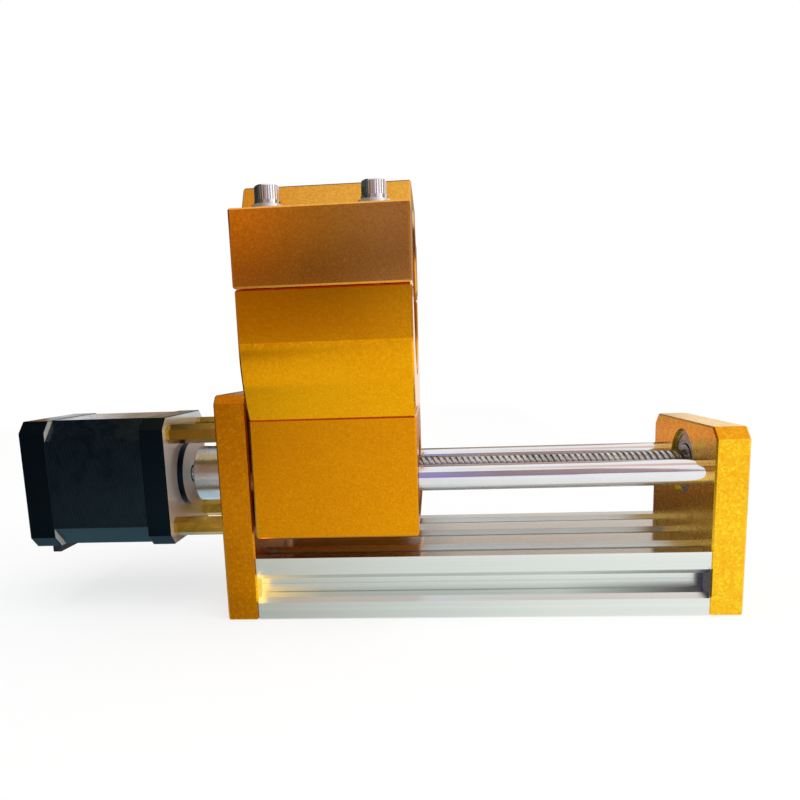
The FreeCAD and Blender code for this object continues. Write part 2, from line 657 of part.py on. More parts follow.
# Coupler: aluminium bar bored for shaft and screw, with slits from alternate sides that let its middle flex
coupler = new_body("shaft_coupler")
coupler_bar = new_sketch(coupler, "YZ_Plane")
draw_circle(coupler_bar, "0", "0", "coupler_diameter")
break_edges(coupler, pad(coupler, coupler_bar, "coupler_length"), "coupler_length")
bore(coupler, [("0", "0", "shaft_diameter + 2 * fit_play")], "coupler_length")
bore(coupler, [("0", "0", "lead_screw_diameter + 2 * fit_play")], "coupler_grip",
     offset="coupler_length", forward=False)
SHAFT_GRUB = "(coupler_grip / 3)"
SCREW_GRUB = "(coupler_length - coupler_grip / 3)"
bore(coupler, [(along, "0", "medium_screw + 2 * fit_play") for along in (SHAFT_GRUB, SCREW_GRUB)],
     "coupler_diameter / 2", plane="XY_Plane", forward=True)
for index, side in enumerate((1, -1, 1)):
    slit_middle = f"coupler_length / 2 + {index - 1} * coupler_slit_pitch"
    start, end = f"{slit_middle} - coupler_slit / 2", f"{slit_middle} + coupler_slit / 2"
    near, far = f"{side} * (coupler_hinge - coupler_diameter / 2)", f"{side} * coupler_diameter"
    slit = new_sketch(coupler, "XY_Plane", "-coupler_diameter / 2")
    draw_polygon(slit, [(start, near), (end, near), (end, far), (start, far)])
    pocket(coupler, slit, "coupler_diameter", forward=True)
nodes.append(place(coupler, COUPLER_START, "0", "axis_height"))
grubs = []
grub_top = "axis_height + coupler_diameter / 2 - head_bevel"
for name, held, along in (
    ("shaft_grub", "shaft_diameter", SHAFT_GRUB),
    ("screw_grub", "lead_screw_diameter", SCREW_GRUB),
):
    reach = f"(coupler_diameter / 2 - head_bevel - {held} / 2 - 2 * fit_play)"
    grub = grub_screw(name, "medium_screw", reach, "grub_key")
    grubs.append(place(grub, f"{COUPLER_START} + {along}", "0", grub_top, "-Z"))
coupler_screws = doc.addObject("Part::Compound", "coupler_set_screws")
coupler_screws.Label = "coupler_set_screws"
coupler_screws.Links = grubs
nodes.append(coupler_screws)

# Carriage block: bored for the linear bearings, the lead nut and the screws of the clamp
carriage = new_body("carriage_block")
block = new_sketch(carriage, "YZ_Plane")
block_corners = rectangle("carriage_width", "0", "carriage_height")
draw_polygon(block, block_corners)
break_edges(carriage, pad(carriage, block, "carriage_length"), "carriage_length", block_corners)
bore(carriage, [(y, AXIS_IN_CARRIAGE, "bearing_outer + 2 * fit_play") for y in ROD_PLACES],
     "carriage_length")
bore(carriage, [("0", AXIS_IN_CARRIAGE, "nut_body + 2 * screw_play")], "carriage_length")
bore(carriage, [("0", AXIS_IN_CARRIAGE, "nut_flange + 2 * screw_play")], "nut_recess",
     offset="carriage_length", forward=False)
NUT_REACH = "nut_circle / 2"
NUT_HOLES = [(NUT_REACH, "0"), (f"-{NUT_REACH}", "0"), ("0", NUT_REACH), ("0", f"-{NUT_REACH}")]
bore(carriage, [(y, f"{AXIS_IN_CARRIAGE} + {z}", "small_screw + 2 * fit_play") for y, z in NUT_HOLES],
     "nut_screw_length", offset="carriage_length - nut_recess", forward=False)
BEARING_MIDDLES = ["bearing_inset + bearing_length / 2",
                   "carriage_length - bearing_inset - bearing_length / 2"]
bearing_spots = [(x, y) for x in BEARING_MIDDLES for y in ROD_PLACES]
bore(carriage, [(x, y, "small_screw + 2 * fit_play") for x, y in bearing_spots], AXIS_IN_CARRIAGE,
     plane="XY_Plane")
MOUNT_REACH = "(clamp_length / 2 - mount_screw_end)"
MOUNT_SPOTS = [(f"carriage_length / 2 + {side} * {MOUNT_REACH}", f"{level} * mount_screw_span / 2")
               for side in (-1, 1) for level in (-1, 1)]
MOUNT_THREAD = f"(mount_screw_length - {MOUNT_FLOOR})"
bore(carriage, [(x, y, "large_screw + 2 * fit_play") for x, y in MOUNT_SPOTS], f"{MOUNT_THREAD} + head_sink",
     plane="XY_Plane", offset="carriage_height", forward=False)
nodes.append(place(carriage, CARRIAGE_START, "0", CARRIAGE_FLOOR))

# Linear ball bearings: two on each rod, each with two ring grooves, held by set screws from below
linear_bearing = new_body("linear_bearing_model")
bearing_outline = [("0", "rod_diameter / 2 + fit_play"), ("0", "bearing_outer / 2")]
for edge in ("groove_inset", "bearing_length - groove_inset - groove_width"):
    bearing_outline += [(edge, "bearing_outer / 2"), (edge, "bearing_outer / 2 - groove_depth"),
                        (f"{edge} + groove_width", "bearing_outer / 2 - groove_depth"),
                        (f"{edge} + groove_width", "bearing_outer / 2")]
bearing_outline += [("bearing_length", "bearing_outer / 2"),
                    ("bearing_length", "rod_diameter / 2 + fit_play")]
revolve(linear_bearing, bearing_outline)
nodes.append(copies("linear_bearings", linear_bearing, [
    (f"{CARRIAGE_START} + {x} - bearing_length / 2", y, "axis_height", "+X") for x, y in bearing_spots]))
SET_LENGTH = f"({AXIS_IN_CARRIAGE} - bearing_outer / 2 - fit_play - head_sink)"
set_screw = grub_screw("bearing_set_screws_model", "small_screw", SET_LENGTH, "set_key")
nodes.append(copies("bearing_set_screws", set_screw, [
    (f"{CARRIAGE_START} + {x}", y, f"{CARRIAGE_FLOOR} + head_sink", "+Z") for x, y in bearing_spots]))

# Lead nut: brass, its flange sunk in the carriage's idle side
NUT_SEAT = f"({CARRIAGE_START} + carriage_length - nut_recess)"
NUT_NECK = "(nut_length - nut_flange_thickness)"
NUT_BORE = "(lead_screw_diameter / 2 + fit_play)"
nut = new_body("lead_nut")
revolve(nut, [("0", NUT_BORE), ("0", "nut_body / 2"), (NUT_NECK, "nut_body / 2"),
              (NUT_NECK, "nut_flange / 2"), ("nut_length", "nut_flange / 2"), ("nut_length", NUT_BORE)])
bore(nut, [(*hole, "small_screw + 2 * screw_play") for hole in NUT_HOLES], "nut_length")
nodes.append(place(nut, f"{NUT_SEAT} - {NUT_NECK}", "0", "axis_height"))
nut_screw = socket_screw("nut_screws_model", "small", "nut_screw_length")
nodes.append(copies("nut_screws", nut_screw, [
    (f"{NUT_SEAT} + nut_flange_thickness", y, f"axis_height + {z}", "-X") for y, z in NUT_HOLES]))

# Lower clamp half: flat sides that curve in to the carriage, with half of the spindle bore
clamp_base = new_body("clamp_base")
outline = new_sketch(clamp_base, "YZ_Plane")
HALF = f"{CLAMP_WIDTH} / 2"
FACE = f"{BORE_HEIGHT} - split_gap / 2"
BEND = f"{BORE_HEIGHT} - clamp_side"
half, face, bend = number(HALF), number(FACE), number(BEND)
seat_half = math.sqrt(half ** 2 - bend ** 2)
radius = number("bore_diameter") / 2
lip = math.sqrt(radius ** 2 - number("split_gap / 2") ** 2)
tall = number(BORE_HEIGHT)
Z_AXIS = Vector(0, 0, 1)
bend_circle = Part.Circle(Vector(0, bend, 0), Z_AXIS, half)
bore_circle = Part.Circle(Vector(0, tall, 0), Z_AXIS, radius)
seat_angle = math.asin(bend / half)
lip_angle = math.asin((tall - face) / radius)
right_side = outline.addGeometry(Part.LineSegment(Vector(half, face, 0), Vector(half, bend, 0)))
right_bend = outline.addGeometry(Part.ArcOfCircle(bend_circle, -seat_angle, 0))
seat_line = outline.addGeometry(Part.LineSegment(Vector(seat_half, 0, 0), Vector(-seat_half, 0, 0)))
left_bend = outline.addGeometry(Part.ArcOfCircle(bend_circle, math.pi, math.pi + seat_angle))
left_side = outline.addGeometry(Part.LineSegment(Vector(-half, bend, 0), Vector(-half, face, 0)))
left_face = outline.addGeometry(Part.LineSegment(Vector(-half, face, 0), Vector(-lip, face, 0)))
bore_arc = outline.addGeometry(Part.ArcOfCircle(bore_circle, math.pi + lip_angle, 2 * math.pi - lip_angle))
right_face = outline.addGeometry(Part.LineSegment(Vector(lip, face, 0), Vector(half, face, 0)))
for first, first_end, second, second_end in (
    (right_side, 2, right_bend, 2), (right_bend, 1, seat_line, 1), (seat_line, 2, left_bend, 2),
    (left_bend, 1, left_side, 1), (left_side, 2, left_face, 1), (left_face, 2, bore_arc, 1),
    (bore_arc, 2, right_face, 1), (right_face, 2, right_side, 1),
):
    outline.addConstraint(Sketcher.Constraint("Coincident", first, first_end, second, second_end))
tie_point(outline, right_side, 1, HALF, FACE)
tie_point(outline, right_side, 2, HALF, BEND)
tie_point(outline, left_side, 1, f"-{HALF}", BEND)
tie_point(outline, left_side, 2, f"-{HALF}", FACE)
tie_point(outline, right_bend, 3, "0", BEND)
tie_point(outline, left_bend, 3, "0", BEND)
tie_point(outline, bore_arc, 3, "0", BORE_HEIGHT)
tie(outline, "Diameter", bore_arc, text="bore_diameter")
for line, end in ((seat_line, 1), (seat_line, 2)):
    tie(outline, "DistanceY", -1, 1, line, end, text="0")
for line, end in ((left_face, 2), (right_face, 1)):
    tie(outline, "DistanceY", -1, 1, line, end, text=FACE)
break_edges(clamp_base, pad(clamp_base, outline, "clamp_length"), "clamp_length",
            [(HALF, FACE), (f"-{HALF}", FACE)])
clamp_mounts = [(f"{x} + clamp_length / 2 - carriage_length / 2", y) for x, y in MOUNT_SPOTS]
bore(clamp_base, [(x, y, "large_head + 2 * head_play") for x, y in clamp_mounts],
     f"{BORE_HEIGHT} - {MOUNT_FLOOR}", plane="XY_Plane", offset=BORE_HEIGHT, forward=False)
bore(clamp_base, [(x, y, "large_screw + 2 * screw_play") for x, y in clamp_mounts], BORE_HEIGHT,
     plane="XY_Plane", offset=BORE_HEIGHT, forward=False)
CLAMP_SPOTS = [(x, f"{level} * {CLAMP_SCREW_SPAN} / 2")
               for x in ("clamp_screw_end", "clamp_length - clamp_screw_end") for level in (-1, 1)]
WASHERS = "(washer_thickness + spring_washer_thickness)"
CLAMP_THREAD = f"(clamp_screw_length - ear_height - {WASHERS})"
bore(clamp_base, [(x, y, "medium_screw + 2 * fit_play") for x, y in CLAMP_SPOTS], CLAMP_THREAD,
     plane="XY_Plane", offset=FACE, forward=False)
CLAMP_START = f"({CARRIAGE_START} + carriage_length / 2 - clamp_length / 2)"
nodes.append(place(clamp_base, CLAMP_START, "0", CLAMP_SEAT))
mount_screw = socket_screw("clamp_mount_screws_model", "large", "mount_screw_length")
nodes.append(copies("clamp_mount_screws", mount_screw, [
    (f"{CARRIAGE_START} + {x}", y, f"{CLAMP_SEAT} + {MOUNT_FLOOR}", "-Z") for x, y in MOUNT_SPOTS]))

# Clamp cap: the bore's upper half with an ear on each side and a raised back, pulled down by four screws
clamp_cap = new_body("clamp_cap")
cap_outline = new_sketch(clamp_cap, "YZ_Plane")
LOW = "split_gap / 2"
PEAK = "bore_diameter / 2 + cap_wall"
EAR_SIDE, HUMP_FOOT, HUMP_SIDE = f"{EAR_WIDTH} / 2", f"{HUMP_BASE} / 2", f"{HUMP_TOP} / 2"
low = number(LOW)
cap_corners = [(EAR_SIDE, LOW), (EAR_SIDE, EAR_TOP), (HUMP_FOOT, EAR_TOP), (HUMP_SIDE, PEAK),
               (f"-{HUMP_SIDE}", PEAK), (f"-{HUMP_FOOT}", EAR_TOP), (f"-{EAR_SIDE}", EAR_TOP),
               (f"-{EAR_SIDE}", LOW)]
cap_spots = [Vector(number(across), number(up), 0) for across, up in cap_corners]
cap_path = [Vector(lip, low, 0)] + cap_spots + [Vector(-lip, low, 0)]
cap_lines = [cap_outline.addGeometry(Part.LineSegment(a, b)) for a, b in zip(cap_path, cap_path[1:])]
cap_circle = Part.Circle(Vector(), Z_AXIS, radius)
cap_arc = cap_outline.addGeometry(Part.ArcOfCircle(cap_circle, lip_angle, math.pi - lip_angle))
for line, following in zip(cap_lines, cap_lines[1:]):
    cap_outline.addConstraint(Sketcher.Constraint("Coincident", line, 2, following, 1))
cap_outline.addConstraint(Sketcher.Constraint("Coincident", cap_arc, 1, cap_lines[0], 1))
cap_outline.addConstraint(Sketcher.Constraint("Coincident", cap_arc, 2, cap_lines[-1], 2))
for line, (across, up) in zip(cap_lines[1:], cap_corners):
    tie_point(cap_outline, line, 1, across, up)
tie_point(cap_outline, cap_arc, 3, "0", "0")
tie(cap_outline, "Diameter", cap_arc, text="bore_diameter")
tie(cap_outline, "DistanceY", -1, 1, cap_lines[0], 1, text=LOW)
tie(cap_outline, "DistanceY", -1, 1, cap_lines[-1], 2, text=LOW)
outer_corners = [corner for corner in cap_corners if HUMP_FOOT not in corner[0]]
break_edges(clamp_cap, pad(clamp_cap, cap_outline, "clamp_length"), "clamp_length", outer_corners)
bore(clamp_cap, [(x, y, "medium_screw + 2 * screw_play") for x, y in CLAMP_SPOTS], EAR_TOP,
     plane="XY_Plane", offset=EAR_TOP, forward=False)
nodes.append(place(clamp_cap, CLAMP_START, "0", BORE_AXIS))


def washer(name, outer, thickness):
    """Flat ring round the clamp's screws, along X."""
    body = new_body(name)
    hole = "medium_screw / 2 + screw_play"
    revolve(body, [("0", hole), ("0", f"{outer} / 2"), (thickness, f"{outer} / 2"), (thickness, hole)])
    return body


flat_washer = washer("clamp_washers_model", "washer_outer", "washer_thickness")
spring_washer = washer("clamp_spring_washers_model", "spring_washer_outer", "spring_washer_thickness")
spring_cut = new_sketch(spring_washer, "YZ_Plane")
draw_polygon(spring_cut, rectangle("spring_washer_cut", "0", "spring_washer_outer"))
pocket(spring_washer, spring_cut, "spring_washer_thickness", forward=True)
clamp_screw = socket_screw("clamp_screws_model", "medium", "clamp_screw_length")
washer_seat = f"{BORE_AXIS} + {EAR_TOP}"
for name, model, level, turn in (
    ("clamp_washers", flat_washer, washer_seat, "+Z"),
    ("clamp_spring_washers", spring_washer, f"{washer_seat} + washer_thickness", "+Z"),
    ("clamp_screws", clamp_screw, f"{washer_seat} + {WASHERS}", "-Z"),
):
    nodes.append(copies(name, model, [(f"{CLAMP_START} + {x}", y, level, turn) for x, y in CLAMP_SPOTS]))

doc.recompute()
failed = [item.Name for item in doc.Objects if "Invalid" in item.State or "Error" in item.State]
if failed:
    raise RuntimeError(f"failed features: {failed}")
for node in nodes:
    if node.Shape.isNull() or not node.Shape.isValid():
        raise RuntimeError(f"bad shape: {node.Label}")
os.makedirs("parts", exist_ok=True)
for node in nodes:
    node.Shape.exportStep(f"parts/{node.Label}.step")
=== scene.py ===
# Looks of a linear z-axis module: slotted rail, gold plates, stepper motor, lead screw, and a carriage with
# a spindle clamp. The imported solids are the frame, and the sections follow the order of assembly.
import math

import bmesh
import bpy
from mathutils import Matrix, Vector


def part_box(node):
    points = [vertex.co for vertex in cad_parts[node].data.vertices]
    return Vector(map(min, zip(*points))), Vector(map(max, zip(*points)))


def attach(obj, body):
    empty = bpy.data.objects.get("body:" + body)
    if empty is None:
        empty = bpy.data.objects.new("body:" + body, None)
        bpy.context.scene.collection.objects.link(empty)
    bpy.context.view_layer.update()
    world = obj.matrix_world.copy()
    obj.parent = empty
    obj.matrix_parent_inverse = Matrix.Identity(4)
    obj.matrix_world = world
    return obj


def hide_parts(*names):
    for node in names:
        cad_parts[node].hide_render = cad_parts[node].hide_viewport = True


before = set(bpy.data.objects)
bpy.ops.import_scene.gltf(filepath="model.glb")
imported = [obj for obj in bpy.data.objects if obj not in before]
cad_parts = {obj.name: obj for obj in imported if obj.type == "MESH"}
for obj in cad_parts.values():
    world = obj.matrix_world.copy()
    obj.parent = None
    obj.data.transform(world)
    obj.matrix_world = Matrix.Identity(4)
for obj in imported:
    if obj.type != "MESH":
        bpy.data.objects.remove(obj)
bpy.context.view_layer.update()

# Slotted rail. An aluminium profile pressed through a die, which leaves fine lines along its whole length,
# then clear anodised and sawn to length. Screws through both plates pull on its ends.
MM = 0.001


def add_node(tree, kind, **values):
    """Places a shader node, setting its sockets and properties by name."""
    node = tree.nodes.new(kind)
    for name, value in values.items():
        label = name.replace("_", " ").title()
        if label in node.inputs:
            node.inputs[label].default_value = value
        else:
            setattr(node, name, value)
    return node


def new_group(name, inputs, outputs):
    """Empty node group with number inputs (name, default) and named number outputs."""
    group = bpy.data.node_groups.new(name, "ShaderNodeTree")
    for label, default in inputs:
        socket = group.interface.new_socket(label, in_out="INPUT", socket_type="NodeSocketFloat")
        socket.default_value = default
    for label in outputs:
        group.interface.new_socket(label, in_out="OUTPUT", socket_type="NodeSocketFloat")
    return group, group.nodes.new("NodeGroupInput").outputs, group.nodes.new("NodeGroupOutput").inputs


def place_group(tree, group, **values):
    """Outputs of a shared effect, placed in a material with its own values."""
    node = tree.nodes.new("ShaderNodeGroup")
    node.node_tree = group
    for name, value in values.items():
        node.inputs[name.capitalize()].default_value = value
    return node.outputs


def new_material(name, colour, metallic, roughness):
    material = bpy.data.materials.new(name)
    material.use_nodes = True
    shader = material.node_tree.nodes["Principled BSDF"]
    shader.inputs["Base Color"].default_value = (*colour, 1)
    shader.inputs["Metallic"].default_value = metallic
    shader.inputs["Roughness"].default_value = roughness
    return material, material.node_tree, shader


def place_of(tree):
    """Place on a piece, in the frame's own metres."""
    return add_node(tree, "ShaderNodeTexCoord").outputs["Object"]


def parts_of(tree, vector):
    """X, Y and Z of a place or a direction."""
    node = add_node(tree, "ShaderNodeSeparateXYZ")
    tree.links.new(vector, node.inputs["Vector"])
    return node.outputs


def facing(tree):
    """X, Y and Z of the way that a surface faces."""
    return parts_of(tree, add_node(tree, "ShaderNodeNewGeometry").outputs["Normal"])


def spread(tree, factor, start, end, low, high):
    """Number that runs from low to high as the factor goes from start to end."""
    span = add_node(tree, "ShaderNodeMapRange", from_min=start, from_max=end, to_min=low, to_max=high)
    tree.links.new(factor, span.inputs["Value"])
    return span.outputs["Result"]


def tint(tree, factor, low, high):
    """Colour that goes from low to high with the factor. Either one may be another node's colour."""
    mix = add_node(tree, "ShaderNodeMix", data_type="RGBA")
    tree.links.new(factor, mix.inputs["Factor"])
    sockets = [socket for socket in mix.inputs if socket.type == "RGBA"]
    for socket, colour in zip(sockets, (low, high)):
        if isinstance(colour, tuple):
            socket.default_value = (*colour, 1)
        else:
            tree.links.new(colour, socket)
    return next(socket for socket in mix.outputs if socket.type == "RGBA")


def combine(tree, operation, first, second=0):
    """Two numbers worked into one. The second may be a plain value."""
    node = add_node(tree, "ShaderNodeMath", operation=operation)
    tree.links.new(first, node.inputs[0])
    if isinstance(second, (int, float)):
        node.inputs[1].default_value = second
    else:
        tree.links.new(second, node.inputs[1])
    return node.outputs["Value"]


def raise_surface(tree, height, depth, shader):
    """Bump from a height that runs from 0 to 1 over the given depth in millimetres."""
    bump = add_node(tree, "ShaderNodeBump", distance=depth * MM)
    tree.links.new(height, bump.inputs["Height"])
    tree.links.new(bump.outputs["Normal"], shader.inputs["Normal"])


def dress(material, *names):
    """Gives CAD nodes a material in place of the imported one."""
    for name in names:
        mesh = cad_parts[name].data
        mesh.materials.clear()
        mesh.materials.append(material)


drawn_lines, lines_in, lines_out = new_group(
    "drawn lines", [("Along", 3), ("Across", 1500)], ["Fine", "Broad"])
stretch = add_node(drawn_lines, "ShaderNodeCombineXYZ")
for axis, amount in (("X", "Along"), ("Y", "Across"), ("Z", "Across")):
    drawn_lines.links.new(lines_in[amount], stretch.inputs[axis])
scaled = add_node(drawn_lines, "ShaderNodeVectorMath", operation="MULTIPLY")
drawn_lines.links.new(place_of(drawn_lines), scaled.inputs[0])
drawn_lines.links.new(stretch.outputs["Vector"], scaled.inputs[1])
for name, scale in (("Fine", 1.0), ("Broad", 0.22)):
    noise = add_node(drawn_lines, "ShaderNodeTexNoise", scale=scale, detail=3.0, roughness=0.6)
    drawn_lines.links.new(scaled.outputs["Vector"], noise.inputs["Vector"])
    drawn_lines.links.new(noise.outputs["Fac"], lines_out[name])

RAIL_PALE = (0.83, 0.86, 0.83)
RAIL_DULL = (0.74, 0.78, 0.75)
rail_finish, tree, shader = new_material("extruded_aluminium", RAIL_PALE, 1.0, 0.28)
shader.inputs["Anisotropic"].default_value = 0.75
shader.inputs["Anisotropic Rotation"].default_value = 0.25
along = add_node(tree, "ShaderNodeCombineXYZ", x=1.0)
tree.links.new(along.outputs["Vector"], shader.inputs["Tangent"])
lines = place_group(tree, drawn_lines, along=2, across=1037)
streaks = combine(tree, "ADD", lines["Broad"], lines["Fine"])
drawn = tint(tree, spread(tree, streaks, 0.7, 1.3, 0, 1), RAIL_DULL, RAIL_PALE)

# Painted shade of a fine groove along each slot's floor, measured across the rail or, on its sides, up from
# its back
GROOVE_SHADE = (0.68, 0.71, 0.69)
SLOT_PITCH, GROOVE_SHADE_WIDTH = 20, 0.5
place, way = parts_of(tree, place_of(tree)), facing(tree)
on_side = combine(tree, "GREATER_THAN", combine(tree, "ABSOLUTE", way["Y"]), 0.9)
across = combine(tree, "ADD", place["Y"], SLOT_PITCH / 2 * MM)
over = combine(tree, "SUBTRACT", place["Z"], across)
across = combine(tree, "ADD", across, combine(tree, "MULTIPLY", over, on_side))
in_cell = combine(tree, "FLOORED_MODULO", across, SLOT_PITCH * MM)
from_line = combine(tree, "ABSOLUTE", combine(tree, "SUBTRACT", in_cell, SLOT_PITCH / 2 * MM))
groove_shade = combine(tree, "LESS_THAN", from_line, GROOVE_SHADE_WIDTH / 2 * MM)
tree.links.new(tint(tree, groove_shade, drawn, GROOVE_SHADE), shader.inputs["Base Color"])

SMOOTHER_ON_TOP = -0.12
dull = spread(tree, lines["Broad"], 0.3, 0.7, 0.27, 0.29)
on_top = combine(tree, "GREATER_THAN", way["Z"], 0.9)
worn_smooth = combine(tree, "MULTIPLY", on_top, SMOOTHER_ON_TOP)
tree.links.new(combine(tree, "ADD", dull, worn_smooth), shader.inputs["Roughness"])
raise_surface(tree, lines["Fine"], 0.004, shader)
dress(rail_finish, "base_rail")

# Motor plate and end plate. Aluminium plate milled to size, with its edges broken, blasted with coarse grit
# and gold anodised. The grain shows as blotches with painted glints, and the edges take a paler painted
# highlight.
handling, handling_in, handling_out = new_group("handling marks", [("Size", 60)], ["Marks"])
smear = add_node(handling, "ShaderNodeTexNoise", detail=6.0, roughness=0.62, distortion=0.6)
handling.links.new(place_of(handling), smear.inputs["Vector"])
handling.links.new(handling_in["Size"], smear.inputs["Scale"])
handling.links.new(smear.outputs["Fac"], handling_out["Marks"])

grit, grit_in, grit_out = new_group(
    "blasted grain", [("Size", 1600), ("Sparkle", 0.84)], ["Grain", "Blotches", "Sparkle"])
place = place_of(grit)
for name, share in (("Grain", 1.0), ("Blotches", 0.42)):
    noise = add_node(grit, "ShaderNodeTexNoise", detail=2.0, roughness=0.55)
    grit.links.new(place, noise.inputs["Vector"])
    grit.links.new(combine(grit, "MULTIPLY", grit_in["Size"], share), noise.inputs["Scale"])
    grit.links.new(noise.outputs["Fac"], grit_out[name])
# Sparkle: grain cells that the gold finishes brighten as painted glints
cells = add_node(grit, "ShaderNodeTexVoronoi", feature="F1")
grit.links.new(place, cells.inputs["Vector"])
grit.links.new(grit_in["Size"], cells.inputs["Scale"])
pick = add_node(grit, "ShaderNodeSeparateColor")
grit.links.new(cells.outputs["Color"], pick.inputs["Color"])
glint = combine(grit, "GREATER_THAN", pick.outputs["Red"], grit_in["Sparkle"])
grit.links.new(glint, grit_out["Sparkle"])

edge_highlight, highlight_in, highlight_out = new_group("edge highlight", [("Reach", 0.3 * MM)], ["Edge"])
rounded = add_node(edge_highlight, "ShaderNodeBevel", samples=4)
edge_highlight.links.new(highlight_in["Reach"], rounded.inputs["Radius"])
flat = add_node(edge_highlight, "ShaderNodeNewGeometry")
turned = add_node(edge_highlight, "ShaderNodeVectorMath", operation="DOT_PRODUCT")
edge_highlight.links.new(rounded.outputs["Normal"], turned.inputs[0])
edge_highlight.links.new(flat.outputs["Normal"], turned.inputs[1])
edge_highlight.links.new(spread(edge_highlight, turned.outputs["Value"], 0.995, 0.93, 0, 1), highlight_out["Edge"])

EDGE_GOLD, EDGE_SHARE = (0.98, 0.70, 0.20), 0.12


def gold_anodise(name, colour, deep, roughness, size, grain, glints, underside=0.0):
    """Gold dye on blasted aluminium: two blotched tones, painted pale glints and edge highlight, a duller
    underside.
    """
    material, tree, shader = new_material(name, colour, 1.0, roughness)
    blast = place_group(tree, grit, size=size)
    marks = place_group(tree, handling, size=30)
    highlight = place_group(tree, edge_highlight)
    cloud = combine(tree, "ADD", blast["Blotches"], blast["Grain"])
    cloud = combine(tree, "ADD", cloud, marks["Marks"])
    dyed = tint(tree, spread(tree, cloud, 1.2, 1.8, 0, 1), deep, colour)
    # Painted glints: the sparkle cells take a brighter gold
    bright = (1.0, min(1.0, 1.25 * colour[1]), colour[2])
    dyed = tint(tree, combine(tree, "MULTIPLY", blast["Sparkle"], glints), dyed, bright)
    # Painted highlight: the edges take a paler gold
    edge_highlight_tone = tuple((1 - EDGE_SHARE) * tone + EDGE_SHARE * edge for tone, edge in zip(colour, EDGE_GOLD))
    tree.links.new(tint(tree, highlight["Edge"], dyed, edge_highlight_tone), shader.inputs["Base Color"])
    gloss = spread(tree, blast["Blotches"], 0.3, 0.7, roughness + 0.03, roughness - 0.03)
    below = spread(tree, facing(tree)["Z"], -0.8, -0.95, 0, underside)
    tree.links.new(combine(tree, "ADD", gloss, below), shader.inputs["Roughness"])
    raise_surface(tree, blast["Grain"], grain, shader)
    return material


# The motor plate's gold is set darker, painted shade, and the end plate's brighter and yellower, painted
# light
MOTOR_PLATE_GOLD = (0.85, 0.32, 0.005)
MOTOR_PLATE_DEEP = (0.69, 0.215, 0.003)
END_PLATE_GOLD = (1.0, 0.625, 0.026)
END_PLATE_DEEP = (0.92, 0.41, 0.009)
dress(gold_anodise("gold_motor_plate", MOTOR_PLATE_GOLD, MOTOR_PLATE_DEEP,
                   roughness=0.30, size=1900, grain=0.010, glints=0.5), "motor_plate")
dress(gold_anodise("gold_end_plate", END_PLATE_GOLD, END_PLATE_DEEP,
                   roughness=0.26, size=1500, grain=0.012, glints=0.6), "end_plate")

# Guide rods. Two bars of hardened steel, ground and hard chromed to a mirror that shows faint rings from the
# wheel. They sit in both plates and are tapped at their ends.
ROD_BRIGHT = (0.86, 0.86, 0.87)
ROD_DULL = (0.74, 0.75, 0.77)
rod_chrome, tree, shader = new_material("rod_chrome", ROD_BRIGHT, 1.0, 0.08)
lines = place_group(tree, drawn_lines, along=900, across=60)
marks = place_group(tree, handling, size=90)
tree.links.new(tint(tree, marks["Marks"], ROD_DULL, ROD_BRIGHT), shader.inputs["Base Color"])
tree.links.new(spread(tree, marks["Marks"], 0.3, 0.7, 0.05, 0.14), shader.inputs["Roughness"])
raise_surface(tree, lines["Fine"], 0.003, shader)
dress(rod_chrome, "guide_rods")

# Screws of the plates. Socket head cap screws of black oxide steel, cold headed, with a knurled rim and a
# hexagon socket. They sit in sinks on the plates' outer faces and bite into the rail's cores and the rods.
TO_IDLE_END, TO_MOTOR, DOWN = (1, 0, 0), (-1, 0, 0), (0, 0, -1)


def select_faces(piece, test):
    """Selects in edit mode only the faces whose centre and normal pass a test."""
    bpy.ops.mesh.select_mode(type="FACE")
    bpy.ops.mesh.select_all(action="DESELECT")
    shape = bmesh.from_edit_mesh(piece.data)
    for face in shape.faces:
        face.select_set(test(face.calc_center_median(), face.normal))
    bmesh.update_edit_mesh(piece.data)


def select_points(piece, test):
    """Selects in edit mode only the points whose place passes a test."""
    bpy.ops.mesh.select_mode(type="VERT")
    bpy.ops.mesh.select_all(action="DESELECT")
    shape = bmesh.from_edit_mesh(piece.data)
    for point in shape.verts:
        point.select_set(test(point.co))
    shape.select_flush_mode()
    bmesh.update_edit_mesh(piece.data)


def extrude(distance):
    bpy.ops.mesh.extrude_region_move(TRANSFORM_OT_translate={"value": (0, 0, distance)})


